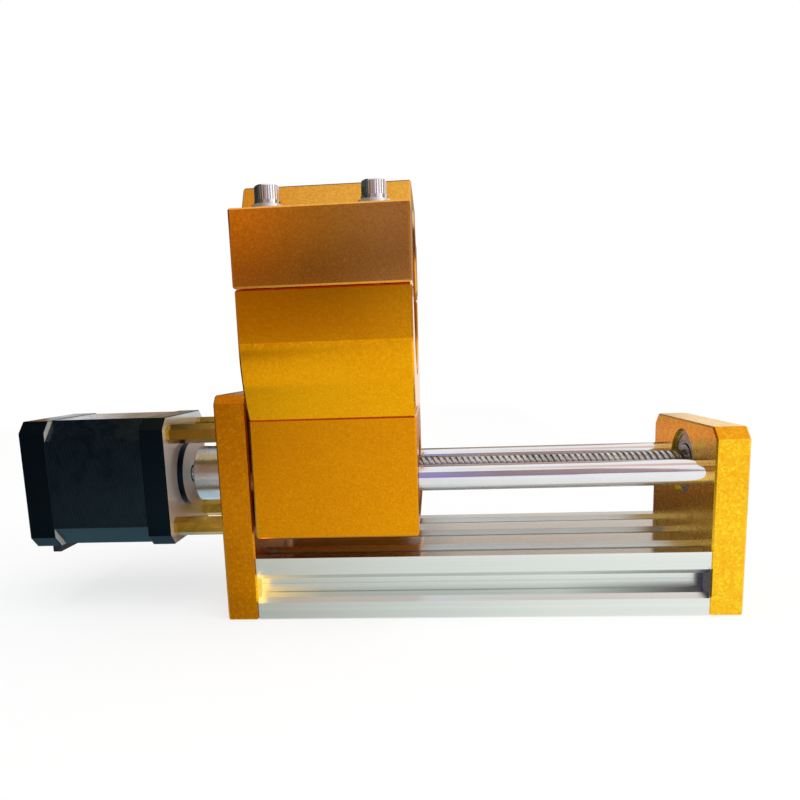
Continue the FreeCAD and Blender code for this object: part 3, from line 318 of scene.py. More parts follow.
def socket_screw(thread, length, head, height, key, ridges=36, bevel=0.35, furrow=0.975):
    """Cap screw that points down from its head's seat at the origin. Sizes in millimetres."""
    bpy.ops.object.select_all(action="DESELECT")
    bpy.ops.mesh.primitive_cylinder_add(
        vertices=2 * ridges, radius=thread / 2 * MM, depth=length * MM, location=(0, 0, -length / 2 * MM))
    screw = bpy.context.object
    bpy.ops.object.transform_apply(location=True)
    bpy.ops.object.mode_set(mode="EDIT")
    select_faces(screw, lambda place, out: out.z < -0.9)
    bpy.ops.mesh.bevel(offset=bevel * MM, affect="EDGES")
    select_faces(screw, lambda place, out: out.z > 0.9)
    extrude(0)
    bpy.ops.transform.resize(value=(head / thread, head / thread, 1))
    extrude((height - bevel) * MM)
    bpy.ops.mesh.inset(thickness=bevel * MM, depth=bevel * MM)

    def in_furrow(place):
        """True for every second point round the head's rim."""
        out = math.hypot(place.x, place.y)
        step = round(math.atan2(place.y, place.x) * ridges / math.pi)
        return out > 0.49 * head * MM and step % 2 == 1

    select_points(screw, in_furrow)
    bpy.ops.transform.resize(value=(furrow, furrow, 1))
    bpy.ops.object.mode_set(mode="OBJECT")
    across_corners = key / math.cos(math.pi / 6)
    bpy.ops.mesh.primitive_cylinder_add(
        vertices=6, radius=across_corners / 2 * MM, depth=1.2 * height * MM, location=(0, 0, height * MM))
    cutter = bpy.context.object
    bpy.context.view_layer.objects.active = screw
    cut = screw.modifiers.new("socket", "BOOLEAN")
    cut.operation = "DIFFERENCE"
    cut.object = cutter
    bpy.ops.object.modifier_apply(modifier=cut.name)
    bpy.data.objects.remove(cutter)
    screw.select_set(True)
    bpy.ops.object.shade_smooth_by_angle(angle=math.radians(28))
    return screw


def set_out(model, places, point=DOWN):
    """Copies of a model that points down, each with its own mesh, at places and turned to point elsewhere."""
    turn = Vector(DOWN).rotation_difference(Vector(point)).to_matrix().to_4x4()
    copies = []
    for place in places:
        copy = model.copy()
        copy.data = model.data.copy()
        bpy.context.collection.objects.link(copy)
        copy.matrix_world = Matrix.Translation(place) @ turn
        copies.append(copy)
    return copies


def fit(name, copies, node, body, slot, *materials):
    """Joins copies into one piece at the origin that stands for a CAD node and moves with its body."""
    bpy.ops.object.select_all(action="DESELECT")
    for copy in copies:
        copy.select_set(True)
    piece = copies[0]
    bpy.context.view_layer.objects.active = piece
    bpy.ops.object.join()
    bpy.ops.object.transform_apply(location=True, rotation=True, scale=True)
    piece.name = name
    piece.data.materials.clear()
    for material in materials:
        piece.data.materials.append(material)
    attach(piece, body)
    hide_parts(node)


def fit_screws(name, node, body, slot, material, size, length, *rows):
    """Cap screws for a CAD node, from rows of seats that each come with the way they point."""
    model = socket_screw(length=length, **size)
    screws = [screw for seats, point in rows for screw in set_out(model, seats, point)]
    bpy.data.objects.remove(model)
    fit(name, screws, node, body, slot, material)


def corners(node):
    """Lowest and highest corner of a CAD node's box."""
    return [Vector(corner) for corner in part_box(node)]


def turned_metal(name, pale, dark, rough, depth):
    """Turned steel or aluminium, with fine rings left by the tool and duller patches."""
    material, tree, shader = new_material(name, pale, 1.0, rough)
    lines = place_group(tree, drawn_lines, along=1600, across=50)
    marks = place_group(tree, handling, size=120)
    patches = spread(tree, marks["Marks"], 0.3, 0.7, 0, 1)
    tree.links.new(tint(tree, patches, dark, pale), shader.inputs["Base Color"])
    tree.links.new(spread(tree, patches, 0, 1, rough + 0.08, rough - 0.06), shader.inputs["Roughness"])
    raise_surface(tree, lines["Fine"], depth, shader)
    return material


black_oxide = turned_metal("black_oxide_steel", (0.15, 0.15, 0.16), (0.07, 0.07, 0.075), 0.34, 0.01)
LARGE = {"thread": 5, "head": 8.5, "height": 5, "key": 4}
MEDIUM = {"thread": 4, "head": 7, "height": 4, "key": 3}
SMALL = {"thread": 3, "head": 5.5, "height": 3, "key": 2.5}
RAIL_SCREW_LENGTH, RAIL_SCREWS_ACROSS = 20, 3
ROD_SCREW_LENGTH, ROD_SCREWS_ACROSS = 9, 2
for name, node, size, length, across in (
    ("rail_cap_screws", "rail_screws", LARGE, RAIL_SCREW_LENGTH, RAIL_SCREWS_ACROSS),
    ("rod_cap_screws", "rod_end_screws", MEDIUM, ROD_SCREW_LENGTH, ROD_SCREWS_ACROSS),
):
    low, high = corners(node)
    reach, sink = size["head"] / 2 * MM, size["height"] * MM
    level = (low.z + high.z) / 2
    row = [low.y + reach + step * (high.y - low.y - 2 * reach) / (across - 1) for step in range(across)]
    fit_screws(name, node, "frame", "dark_screws", black_oxide, size, length,
               ([(low.x + sink, y, level) for y in row], TO_IDLE_END),
               ([(high.x - sink, y, level) for y in row], TO_MOTOR))

# Motor caps. Aluminium die castings with cut corners in satin black paint. The faces towards the plate are
# milled after painting and stay bare, so they shine.
CAP_BLACK = (0.001, 0.002, 0.003)
CAP_WORN = (0.002, 0.004, 0.006)
CAP_SHEEN = (0.30, 0.68, 1.0)
BARE_CASTING = (1.0, 0.95, 0.86)
BARE_SHINE = 0.5
cap_paint, tree, shader = new_material("black_cap_paint", CAP_BLACK, 0.0, 0.3)
shader.inputs["Specular IOR Level"].default_value = 0.22
shader.inputs["Specular Tint"].default_value = (*CAP_SHEEN, 1)
marks = place_group(tree, handling, size=70)
blast = place_group(tree, grit, size=1500)
milled = spread(tree, facing(tree)["X"], 0.90, 0.94, 0, 1)
painted = tint(tree, marks["Marks"], CAP_BLACK, CAP_WORN)
tree.links.new(tint(tree, milled, painted, BARE_CASTING), shader.inputs["Base Color"])
tree.links.new(combine(tree, "MULTIPLY", milled, BARE_SHINE), shader.inputs["Metallic"])
tree.links.new(spread(tree, marks["Marks"], 0.3, 0.7, 0.14, 0.24), shader.inputs["Roughness"])
raise_surface(tree, blast["Grain"], 0.004, shader)
dress(cap_paint, "motor_rear_cap", "motor_front_cap")

# Motor stack. Thin steel sheets stamped with cut corners, stacked and lacquered black. The sheets' edges show
# as fine lines round the motor, and the lacquer lies thick and glossy over them.
SHEET_THICKNESS = 0.5
LACQUER_BLACK = (0.001, 0.002, 0.003)
LACQUER_BLUE = (0.008, 0.013, 0.020)
LACQUER_SHEEN = (0.38, 0.80, 1.0)
stack_lacquer, tree, shader = new_material("black_laminations", LACQUER_BLACK, 0.0, 0.2)
shader.inputs["Specular Tint"].default_value = (*LACQUER_SHEEN, 1)
shader.inputs["Specular IOR Level"].default_value = 0.35
sheets = add_node(tree, "ShaderNodeTexWave", wave_type="BANDS", bands_direction="X",
                  scale=math.pi / 10 / (SHEET_THICKNESS * MM), distortion=0.4, detail=2.0, detail_scale=3.0)
tree.links.new(place_of(tree), sheets.inputs["Vector"])
marks = place_group(tree, handling, size=260)
mottle = combine(tree, "MULTIPLY", sheets.outputs["Fac"], marks["Marks"])
lacquered = tint(tree, spread(tree, mottle, 0.1, 0.5, 0, 1), LACQUER_BLACK, LACQUER_BLUE)
tree.links.new(lacquered, shader.inputs["Base Color"])
tree.links.new(spread(tree, marks["Marks"], 0.3, 0.7, 0.10, 0.18), shader.inputs["Roughness"])
raise_surface(tree, mottle, 0.012, shader)
dress(stack_lacquer, "motor_stack")

# Motor connector. Black moulded plastic socket under the rear cap, with a row of tinned pins for the motor's
# plug. The mould leaves a fine matt skin.
PLASTIC_BLACK = (0.012, 0.012, 0.012)
PLASTIC_GREY = (0.034, 0.034, 0.035)
TINNED = (0.70, 0.69, 0.66)
PIN_REACH, PIN_ROW = 0.32, 7.0
low, high = corners("motor_connector")
connector_plastic, tree, shader = new_material("connector_plastic", PLASTIC_BLACK, 0.0, 0.5)
centred = add_node(tree, "ShaderNodeVectorMath", operation="SUBTRACT")
centred.inputs[1].default_value = (low + high) / 2
tree.links.new(place_of(tree), centred.inputs[0])
place = parts_of(tree, centred.outputs["Vector"])
near_row = combine(tree, "LESS_THAN", combine(tree, "ABSOLUTE", place["X"]), PIN_REACH * MM)
in_row = combine(tree, "LESS_THAN", combine(tree, "ABSOLUTE", place["Y"]), PIN_ROW * MM)
pins = combine(tree, "MULTIPLY", near_row, in_row)
marks = place_group(tree, handling, size=180)
moulded = tint(tree, marks["Marks"], PLASTIC_BLACK, PLASTIC_GREY)
tree.links.new(tint(tree, pins, moulded, TINNED), shader.inputs["Base Color"])
tree.links.new(pins, shader.inputs["Metallic"])
tree.links.new(spread(tree, marks["Marks"], 0.3, 0.7, 0.38, 0.56), shader.inputs["Roughness"])
raise_surface(tree, marks["Marks"], 0.02, shader)
dress(connector_plastic, "motor_connector")

# Motor shaft, rotor and bearings. A ground steel shaft in two small ball bearings, with the rotor pressed on.
# Only the shaft's front end shows, where the coupler grips it.
shaft_steel = turned_metal("shaft_steel", (0.62, 0.62, 0.62), (0.44, 0.44, 0.45), 0.22, 0.01)
bearing_steel = turned_metal("bearing_steel", (0.68, 0.68, 0.69), (0.52, 0.52, 0.54), 0.20, 0.008)
dress(shaft_steel, "motor_shaft", "motor_rotor")
dress(bearing_steel, "motor_bearings")

# Tie screws of the motor. Four long black cap screws run from the rear cap's sunk holes through the stack
# into the front cap.


def corner_seats(node, size, point):
    """Seats of four screws whose heads fill the corners of their node's box, from the way they point."""
    low, high = corners(node)
    reach, sink = size["head"] / 2 * MM, size["height"] * MM
    choices = [(low[axis] + reach, high[axis] - reach) for axis in range(3)]
    along = [abs(part) for part in point].index(1)
    choices[along] = [low[along] + sink if point[along] > 0 else high[along] - sink]
    return [(x, y, z) for x in choices[0] for y in choices[1] for z in choices[2]]


TIE_SCREW_LENGTH = 39.9
fit_screws("motor_cap_screws", "motor_tie_screws", "frame", "dark_screws", black_oxide, SMALL,
           TIE_SCREW_LENGTH, (corner_seats("motor_tie_screws", SMALL, TO_IDLE_END), TO_IDLE_END))

# Standoffs and their screws. Drawn hexagon brass, cut to length and tapped, dulled by handling. A stud holds
# each one in the motor, and a black cap screw from the plate's inner face pulls on its other end.


def brass(name, pale, dull, rough):
    """Drawn or turned brass with duller patches."""
    material, tree, shader = new_material(name, pale, 1.0, rough)
    lines = place_group(tree, drawn_lines, along=20, across=900)
    marks = place_group(tree, handling, size=160)
    patches = spread(tree, marks["Marks"], 0.3, 0.7, 0, 1)
    tree.links.new(tint(tree, patches, dull, pale), shader.inputs["Base Color"])
    tree.links.new(spread(tree, patches, 0, 1, rough + 0.1, rough - 0.06), shader.inputs["Roughness"])
    raise_surface(tree, lines["Fine"], 0.015, shader)
    return material


dress(brass("standoff_brass", (0.66, 0.37, 0.05), (0.38, 0.205, 0.025), 0.18), "motor_standoffs")
STANDOFF_SCREW_LENGTH = 12
fit_screws("standoff_cap_screws", "standoff_screws", "frame", "dark_screws", black_oxide, SMALL,
           STANDOFF_SCREW_LENGTH, (corner_seats("standoff_screws", SMALL, TO_MOTOR), TO_MOTOR))

# Shaft coupler. Turned from aluminium bar and slit from alternate sides so that its middle flexes. Two black
# set screws hold the motor shaft and the lead screw in it.
coupler_aluminium = turned_metal("coupler_aluminium", (0.78, 0.78, 0.79), (0.62, 0.62, 0.64), 0.26, 0.015)
dress(coupler_aluminium, "shaft_coupler")
dress(black_oxide, "coupler_set_screws")

# Lead screw. Rolled steel with a right-hand trapezoid thread of four starts, so that one turn moves the nut
# by the lead. It runs from the coupler through the nut to the bearing in the end plate.
STARTS, LEAD, THREAD_DEPTH = 4, 8, 0.9
POINTS_A_START, ROOT_SHARE = 12, 0.36
STEPS_A_TURN = 24
low, high = corners("lead_screw")
crest = (high.z - low.z) / 2
turns = (high.x - low.x) / (LEAD * MM)
bpy.ops.object.select_all(action="DESELECT")
bpy.ops.mesh.primitive_circle_add(
    vertices=STARTS * POINTS_A_START, radius=crest, rotation=(0, math.pi / 2, 0))
thread = bpy.context.object
bpy.ops.object.transform_apply(rotation=True)
bpy.ops.object.mode_set(mode="EDIT")


def in_root(place):
    """True for points in a root, the first share of each start. Rounding may put its 0 just under 1."""
    share = math.atan2(place.z, place.y) / math.tau * STARTS % 1
    return share < ROOT_SHARE or share > 0.99


select_points(thread, in_root)
root = (crest - THREAD_DEPTH * MM) / crest
bpy.ops.transform.resize(value=(1, root, root), center_override=(0, 0, 0))
bpy.ops.object.mode_set(mode="OBJECT")
sweep = thread.modifiers.new("thread", "SCREW")
sweep.axis = "X"
sweep.angle = math.tau * turns
sweep.screw_offset = high.x - low.x
sweep.steps = sweep.render_steps = round(STEPS_A_TURN * turns)
bpy.ops.object.modifier_apply(modifier=sweep.name)
bpy.ops.object.mode_set(mode="EDIT")
bpy.ops.mesh.select_mode(type="EDGE")
bpy.ops.mesh.select_all(action="DESELECT")
bpy.ops.mesh.select_non_manifold()
bpy.ops.mesh.edge_face_add()
bpy.ops.mesh.select_all(action="SELECT")
bpy.ops.mesh.normals_make_consistent(inside=False)
bpy.ops.object.mode_set(mode="OBJECT")
bpy.ops.object.shade_smooth_by_angle(angle=math.radians(30))
thread.location = (low.x, (low.y + high.y) / 2, (low.z + high.z) / 2)
thread_steel = turned_metal("thread_steel", (0.64, 0.64, 0.63), (0.40, 0.40, 0.40), 0.22, 0.01)
fit("lead_screw_thread", [thread], "lead_screw", "leadscrew", "screw_steel", thread_steel)

# End bearing. A shielded ball bearing: its outer ring sits in the end plate's pocket, its inner ring on the
# lead screw. The shields are pressed steel, dulled by grease.
dress(turned_metal("bearing_ring_steel", (0.46, 0.46, 0.47), (0.30, 0.30, 0.31), 0.26, 0.01),
      "end_bearing_outer_ring", "end_bearing_inner_ring")

# Carriage block. Milled from one aluminium block, fine blasted and gold anodised like the plates. It slides
# on the rods and carries the clamp.
CARRIAGE_GOLD = (0.86, 0.34, 0.004)
CARRIAGE_DEEP = (0.78, 0.28, 0.003)
dress(gold_anodise("gold_carriage", CARRIAGE_GOLD, CARRIAGE_DEEP,
                   roughness=0.24, size=2400, grain=0.005, glints=0.35, underside=0.5), "carriage_block")

# Linear bearings and their set screws. Ground steel sleeves with two ring grooves and black rubber seals at
# both ends, two on each rod, pressed into the carriage and held from below by small black set screws.
SLEEVE_OUTER, SLEEVE_BORE, SLEEVE_LENGTH = 15, 8.1, 24
SLEEVE_WALL, SEAL_SINK, SEAL_STEP = 1.3, 0.4, 0.05
GROOVE_INSET, GROOVE_WIDTH, GROOVE_DEPTH = 3, 1.1, 0.35
bpy.ops.object.select_all(action="DESELECT")
bpy.ops.mesh.primitive_cylinder_add(vertices=64, radius=SLEEVE_OUTER / 2 * MM, depth=SLEEVE_LENGTH * MM)
sleeve = bpy.context.object
bpy.ops.object.mode_set(mode="EDIT")
for end in (-1, 1):
    for inset in (GROOVE_INSET, GROOVE_INSET + GROOVE_WIDTH):
        bpy.ops.mesh.select_all(action="SELECT")
        bpy.ops.mesh.bisect(plane_co=(0, 0, end * (SLEEVE_LENGTH / 2 - inset) * MM), plane_no=(0, 0, 1))
groove_middle = SLEEVE_LENGTH / 2 - GROOVE_INSET - GROOVE_WIDTH / 2
select_faces(sleeve, lambda place, out: abs(abs(place.z) / MM - groove_middle) < GROOVE_WIDTH / 2)
extrude(0)
sunk = 1 - 2 * GROOVE_DEPTH / SLEEVE_OUTER
bpy.ops.transform.resize(value=(sunk, sunk, 1))
select_faces(sleeve, lambda place, out: abs(out.z) > 0.9 and abs(place.z) / MM > SLEEVE_LENGTH / 2 - 0.1)
bpy.ops.mesh.inset(thickness=SLEEVE_WALL * MM, use_individual=True)
bpy.ops.mesh.inset(thickness=SEAL_STEP * MM, depth=-SEAL_SINK * MM, use_individual=True)
seal_outer = SLEEVE_OUTER / 2 - SLEEVE_WALL - SEAL_STEP
bpy.ops.mesh.inset(thickness=(seal_outer - SLEEVE_BORE / 2) * MM, use_individual=True)
bpy.ops.mesh.delete(type="FACE")
select_points(sleeve, lambda place: math.hypot(place.x, place.y) / MM < SLEEVE_BORE / 2 + 0.02)
bpy.ops.mesh.bridge_edge_loops()
bpy.ops.mesh.select_all(action="SELECT")
bpy.ops.mesh.normals_make_consistent(inside=False)
bpy.ops.object.mode_set(mode="OBJECT")
SEAL_BLACK = (0.010, 0.010, 0.011)
SEAL_GREY = (0.030, 0.030, 0.031)
seal_rubber, tree, shader = new_material("seal_rubber", SEAL_BLACK, 0.0, 0.6)
marks = place_group(tree, handling, size=400)
tree.links.new(tint(tree, marks["Marks"], SEAL_BLACK, SEAL_GREY), shader.inputs["Base Color"])
tree.links.new(spread(tree, marks["Marks"], 0.3, 0.7, 0.5, 0.7), shader.inputs["Roughness"])
raise_surface(tree, marks["Marks"], 0.01, shader)
for face in sleeve.data.polygons:
    out, level = math.hypot(face.center.x, face.center.y) / MM, abs(face.center.z) / MM
    sealed = abs(face.normal.z) > 0.9 and out < seal_outer and level > SLEEVE_LENGTH / 2 - 0.6
    face.material_index = 1 if sealed else 0
bpy.ops.object.shade_smooth_by_angle(angle=math.radians(30))
low, high = corners("linear_bearings")
half, reach, level = SLEEVE_LENGTH / 2 * MM, SLEEVE_OUTER / 2 * MM, (low.z + high.z) / 2
ends, sides = (low.x + half, high.x - half), (low.y + reach, high.y - reach)
sleeves = set_out(sleeve, [(x, y, level) for x in ends for y in sides], TO_IDLE_END)
bpy.data.objects.remove(sleeve)
fit("linear_bearing_sleeves", sleeves, "linear_bearings", "carriage", "bearing_steel",
    bearing_steel, seal_rubber)
dress(black_oxide, "bearing_set_screws")

# Lead nut and its screws. Turned brass with a flange, sunk in the carriage's idle side and held by four
# small black cap screws.
dress(brass("nut_brass", (0.80, 0.58, 0.24), (0.60, 0.42, 0.15), 0.24), "lead_nut")
NUT_SCREW_LENGTH = 10
low, high = corners("nut_screws")
middle = (low + high) / 2
reach = (high.y - low.y) / 2 - SMALL["head"] / 2 * MM
seat = high.x - SMALL["height"] * MM
crosswise = ((reach, 0), (-reach, 0), (0, reach), (0, -reach))
fit_screws("nut_cap_screws", "nut_screws", "carriage", "dark_screws", black_oxide, SMALL, NUT_SCREW_LENGTH,
           ([(seat, middle.y + y, middle.z + z) for y, z in crosswise], TO_MOTOR))

# Lower clamp half and its screws. Milled aluminium with half of the spindle bore, fine blasted and gold
# anodised. Four black cap screws sunk in the bore's floor hold it on the carriage.
CLAMP_GOLD = (0.98, 0.445, 0.005)
CLAMP_DEEP = (0.89, 0.35, 0.003)
dress(gold_anodise("gold_clamp", CLAMP_GOLD, CLAMP_DEEP,
                   roughness=0.17, size=2400, grain=0.0028, glints=0.4), "clamp_base")
MOUNT_SCREW_LENGTH = 16
fit_screws("clamp_floor_screws", "clamp_mount_screws", "carriage", "dark_screws", black_oxide, LARGE,
           MOUNT_SCREW_LENGTH, (corner_seats("clamp_mount_screws", LARGE, DOWN), DOWN))

# Clamp cap. The bore's upper half, milled with an ear on each side and a raised back. Its gold is set a
# shade browner than the lower half's.
CAP_GOLD = (0.93, 0.43, 0.062)
CAP_DEEP = (0.75, 0.305, 0.036)
dress(gold_anodise("gold_cap", CAP_GOLD, CAP_DEEP,
                   roughness=0.16, size=2400, grain=0.0022, glints=0.4), "clamp_cap")

# Clamp screws and washers. Bright stainless cap screws with knurled heads, each on a split spring washer and
# a flat washer, pull the cap's ears down on the lower half.
bright_steel = turned_metal("bright_screw_steel", (0.90, 0.89, 0.89), (0.72, 0.70, 0.71), 0.14, 0.004)
CLAMP_SCREW_LENGTH = 36
fit_screws("clamp_cap_screws", "clamp_screws", "carriage", "bright_screws", bright_steel, MEDIUM,
           CLAMP_SCREW_LENGTH, (corner_seats("clamp_screws", MEDIUM, DOWN), DOWN))

SPRING_OUTER, SPRING_BORE, SPRING_HEIGHT = 7.4, 4.5, 1.2
SPRING_RISE, SPRING_SWEEP, SPRING_STEPS = 0.22, 345, 48
bpy.ops.object.select_all(action="DESELECT")
wire = (SPRING_OUTER - SPRING_BORE) / 2
bpy.ops.mesh.primitive_plane_add(size=1, rotation=(math.pi / 2, 0, 0))
spring = bpy.context.object
spring.scale = (wire * MM, (SPRING_HEIGHT - SPRING_RISE) * MM, 1)
spring.location = ((SPRING_BORE + wire) / 2 * MM, 0, -SPRING_RISE / 2 * MM)
bpy.ops.object.transform_apply(location=True, rotation=True, scale=True)
coil = spring.modifiers.new("coil", "SCREW")
coil.axis = "Z"
coil.angle = math.radians(SPRING_SWEEP)
coil.screw_offset = SPRING_RISE * MM
coil.steps = coil.render_steps = SPRING_STEPS
bpy.ops.object.modifier_apply(modifier=coil.name)
bpy.ops.object.mode_set(mode="EDIT")
bpy.ops.mesh.select_all(action="SELECT")
bpy.ops.mesh.remove_doubles(threshold=0.001 * MM)
bpy.ops.mesh.normals_make_consistent(inside=False)
bpy.ops.object.mode_set(mode="OBJECT")
bpy.ops.object.shade_smooth_by_angle(angle=math.radians(30))
low, high = corners("clamp_spring_washers")
reach, level = SPRING_OUTER / 2 * MM, (low.z + high.z) / 2
ends, sides = (low.x + reach, high.x - reach), (low.y + reach, high.y - reach)
springs = set_out(spring, [(x, y, level) for x in ends for y in sides])
bpy.data.objects.remove(spring)
fit("split_spring_washers", springs, "clamp_spring_washers", "carriage", "bright_screws", bright_steel)
washer_zinc = turned_metal("washer_zinc", (0.96, 0.96, 0.97), (0.86, 0.86, 0.88), 0.42, 0.01)
dress(washer_zinc, "clamp_washers")

# Floor and cards. A pale sheet under the object, white to the camera apart from the object's soft shadow, and
# flat cards round it that only show in the metal, painted with a room's light and shade: dim and warm in
# front and behind, dark on the left, with the white surrounding between them.
FLOOR_SIZE, FLOOR_DROP = 8, 0.2
bpy.ops.object.select_all(action="DESELECT")
bpy.ops.mesh.primitive_plane_add(size=FLOOR_SIZE, location=(0, 0, -FLOOR_DROP * MM))
floor = bpy.context.object
floor.name = "floor"


def seen_directly(tree):
    """One for rays from the camera and for those that metal or glass sends on, and zero for the rest."""
    path = add_node(tree, "ShaderNodeLightPath")
    seen = combine(tree, "ADD", path.outputs["Is Camera Ray"], path.outputs["Is Glossy Ray"])
    seen = combine(tree, "ADD", seen, path.outputs["Is Transmission Ray"])
    return combine(tree, "MINIMUM", seen, 1)


FLOOR_GLOW = 0.7
paper, tree, shader = new_material("pale_paper", (0.93, 0.93, 0.93), 0.0, 0.9)
floor.data.materials.append(paper)
glow = add_node(tree, "ShaderNodeEmission", color=(1, 1, 1, 1), strength=1.0)
blend = add_node(tree, "ShaderNodeMixShader")
tree.links.new(combine(tree, "MULTIPLY", seen_directly(tree), FLOOR_GLOW), blend.inputs["Fac"])
tree.links.new(shader.outputs["BSDF"], blend.inputs[1])
tree.links.new(glow.outputs["Emission"], blend.inputs[2])
tree.links.new(blend.outputs["Shader"], tree.nodes["Material Output"].inputs["Surface"])


def card(name, middle, size, turn, *tones, rise=None):
    """Card seen only in reflections, of one tone or of tones along X, brighter or dimmer along Z."""
    bpy.ops.object.select_all(action="DESELECT")
    bpy.ops.mesh.primitive_plane_add(size=1, location=middle, rotation=turn)
    sheet = bpy.context.object
    sheet.name = name
    sheet.scale = (*size, 1)
    bpy.ops.object.transform_apply(location=True, rotation=True, scale=True)
    for kind in ("camera", "diffuse", "shadow", "transmission", "volume_scatter"):
        setattr(sheet, f"visible_{kind}", False)
    material = bpy.data.materials.new(name)
    material.use_nodes = True
    sheet.data.materials.append(material)
    tree = material.node_tree
    tree.nodes.remove(tree.nodes["Principled BSDF"])
    glow = add_node(tree, "ShaderNodeEmission", strength=1.0)
    tree.links.new(glow.outputs["Emission"], tree.nodes["Material Output"].inputs["Surface"])
    if rise:
        height = parts_of(tree, place_of(tree))["Z"]
        tree.links.new(spread(tree, height, *rise), glow.inputs["Strength"])
    if len(tones) == 1:
        glow.inputs["Color"].default_value = (*tones[0], 1)
        return sheet
    first, last = tones[0][0], tones[-1][0]
    along = parts_of(tree, place_of(tree))["X"]
    ramp = add_node(tree, "ShaderNodeValToRGB")
    tree.links.new(spread(tree, along, first, last, 0, 1), ramp.inputs["Fac"])
    tree.links.new(ramp.outputs["Color"], glow.inputs["Color"])
    stops = ramp.color_ramp.elements
    while len(stops) < len(tones):
        stops.new(0.5)
    for stop, (spot, tone) in zip(stops, tones):
        stop.position = (spot - first) / (last - first)
        stop.color = (*tone, 1)
    return sheet


def soften(sheet, middle, reach, strength):
    """Lets a card fade out from a middle place, so that it shades what lies behind it."""
    tree = sheet.data.materials[0].node_tree
    off = add_node(tree, "ShaderNodeVectorMath", operation="SUBTRACT")
    off.inputs[1].default_value = middle
    tree.links.new(place_of(tree), off.inputs[0])
    share = add_node(tree, "ShaderNodeVectorMath", operation="DIVIDE")
    share.inputs[1].default_value = (reach[0], 1, reach[1])
    tree.links.new(off.outputs["Vector"], share.inputs[0])
    far = add_node(tree, "ShaderNodeVectorMath", operation="LENGTH")
    tree.links.new(share.outputs["Vector"], far.inputs[0])
    clear = add_node(tree, "ShaderNodeBsdfTransparent")
    blend = add_node(tree, "ShaderNodeMixShader")
    tree.links.new(spread(tree, far.outputs["Value"], 0.2, 1, strength, 0), blend.inputs["Fac"])
    output = tree.nodes["Material Output"]
    tree.links.new(clear.outputs["BSDF"], blend.inputs[1])
    tree.links.new(output.inputs["Surface"].links[0].from_socket, blend.inputs[2])
    tree.links.new(blend.outputs["Shader"], output.inputs["Surface"])


UPRIGHT = (math.pi / 2, 0, 0)
SIDEWAYS = (math.pi / 2, 0, math.pi / 2)
LYING = (0, 0, 0)

# In front: warm, dim tones, with a soft-edged shade just before them
card("front_card", (0.045, -0.50, 0.525), (0.49, 0.75), UPRIGHT,
     (-0.20, (0.64, 0.35, 0.06)), (-0.142, (0.60, 0.33, 0.07)), (-0.114, (0.47, 0.29, 0.10)),
     (-0.086, (0.36, 0.26, 0.14)), (-0.058, (0.31, 0.26, 0.24)), (-0.010, (0.34, 0.29, 0.62)),
     (0.10, (0.34, 0.24, 0.25)), (0.29, (0.44, 0.31, 0.33)), rise=(0.15, 0.21, 0.38, 1.08))
card("front_low_card", (-0.02, -0.50, 0.1175), (0.36, 0.065), UPRIGHT,
     (-0.155, (0.35, 0.23, 0.20)), (-0.086, (0.37, 0.25, 0.24)), (-0.058, (0.40, 0.29, 0.36)),
     (-0.030, (0.46, 0.36, 0.60)), (-0.008, (0.52, 0.43, 1.0)), (0.06, (0.60, 0.55, 0.80)),
     rise=(0.10, 0.14, 1.06, 0.95))
SHADE_MIDDLE, SHADE_REACH, SHADE_STRENGTH = (-0.08, -0.495, 0.155), (0.10, 0.03), 0.5
shade = card("dark_shade", SHADE_MIDDLE, (0.20, 0.06), UPRIGHT, (0.02, 0.01, 0.01))
soften(shade, SHADE_MIDDLE, SHADE_REACH, SHADE_STRENGTH)
card("front_left_card", (-0.70, -0.50, 0.45), (1.0, 0.90), UPRIGHT,
     (-0.60, (0.03, 0.042, 0.044)), (-0.33, (0.05, 0.062, 0.060)), (-0.24, (0.14, 0.09, 0.09)),
     (-0.20, (0.36, 0.18, 0.09)))

# At the sides: dark on the left with a brown strip low down, and brown on the right
card("left_card", (-0.40, 0.0, 0.225), (1.0, 0.45), SIDEWAYS, (0.020, 0.026, 0.026),
     rise=(0.235, 0.28, 1, 16))
card("left_high_card", (-0.40, 0.0, 0.775), (1.0, 0.65), SIDEWAYS, (0.004, 0.006, 0.010))
card("left_low_card", (-0.39, 0.0, 0.125), (1.0, 0.11), SIDEWAYS, (0.38, 0.25, 0.12))
card("right_card", (0.55, 0.02, 0.26), (0.36, 0.36), SIDEWAYS, (0.36, 0.27, 0.20))
card("back_left_card", (-0.40, 0.75, 0.64), (0.5, 0.92), SIDEWAYS, (0.016, 0.018, 0.018),
     rise=(0.235, 0.28, 1, 20))

# On the floor: dark tones on the left that pale to the right, bluish under the motor and brown behind
# The floor cards hold painted shadow, darkest on the left and by the rail's foot; the bluish one is a painted
# reflection
LIFT = 0.2 * MM
card("far_floor_card", (-0.40, -0.52, LIFT), (1.0, 0.76), LYING,
     (-0.36, (0.02, 0.03, 0.04)), (-0.25, (0.16, 0.13, 0.10)), (-0.19, (0.33, 0.285, 0.235)),
     (-0.15, (0.47, 0.42, 0.37)), (-0.12, (0.58, 0.54, 0.49)), (-0.08, (0.70, 0.67, 0.63)),
     (0.0, (0.84, 0.83, 0.80)), (0.06, (0.98, 0.98, 0.97)))
card("distant_floor_card", (-0.40, -1.45, LIFT), (1.2, 1.10), LYING,
     (-0.6, (0.36, 0.31, 0.26)), (-0.3, (0.46, 0.41, 0.36)), (0.0, (0.76, 0.74, 0.70)),
     (0.1, (0.98, 0.98, 0.97)))
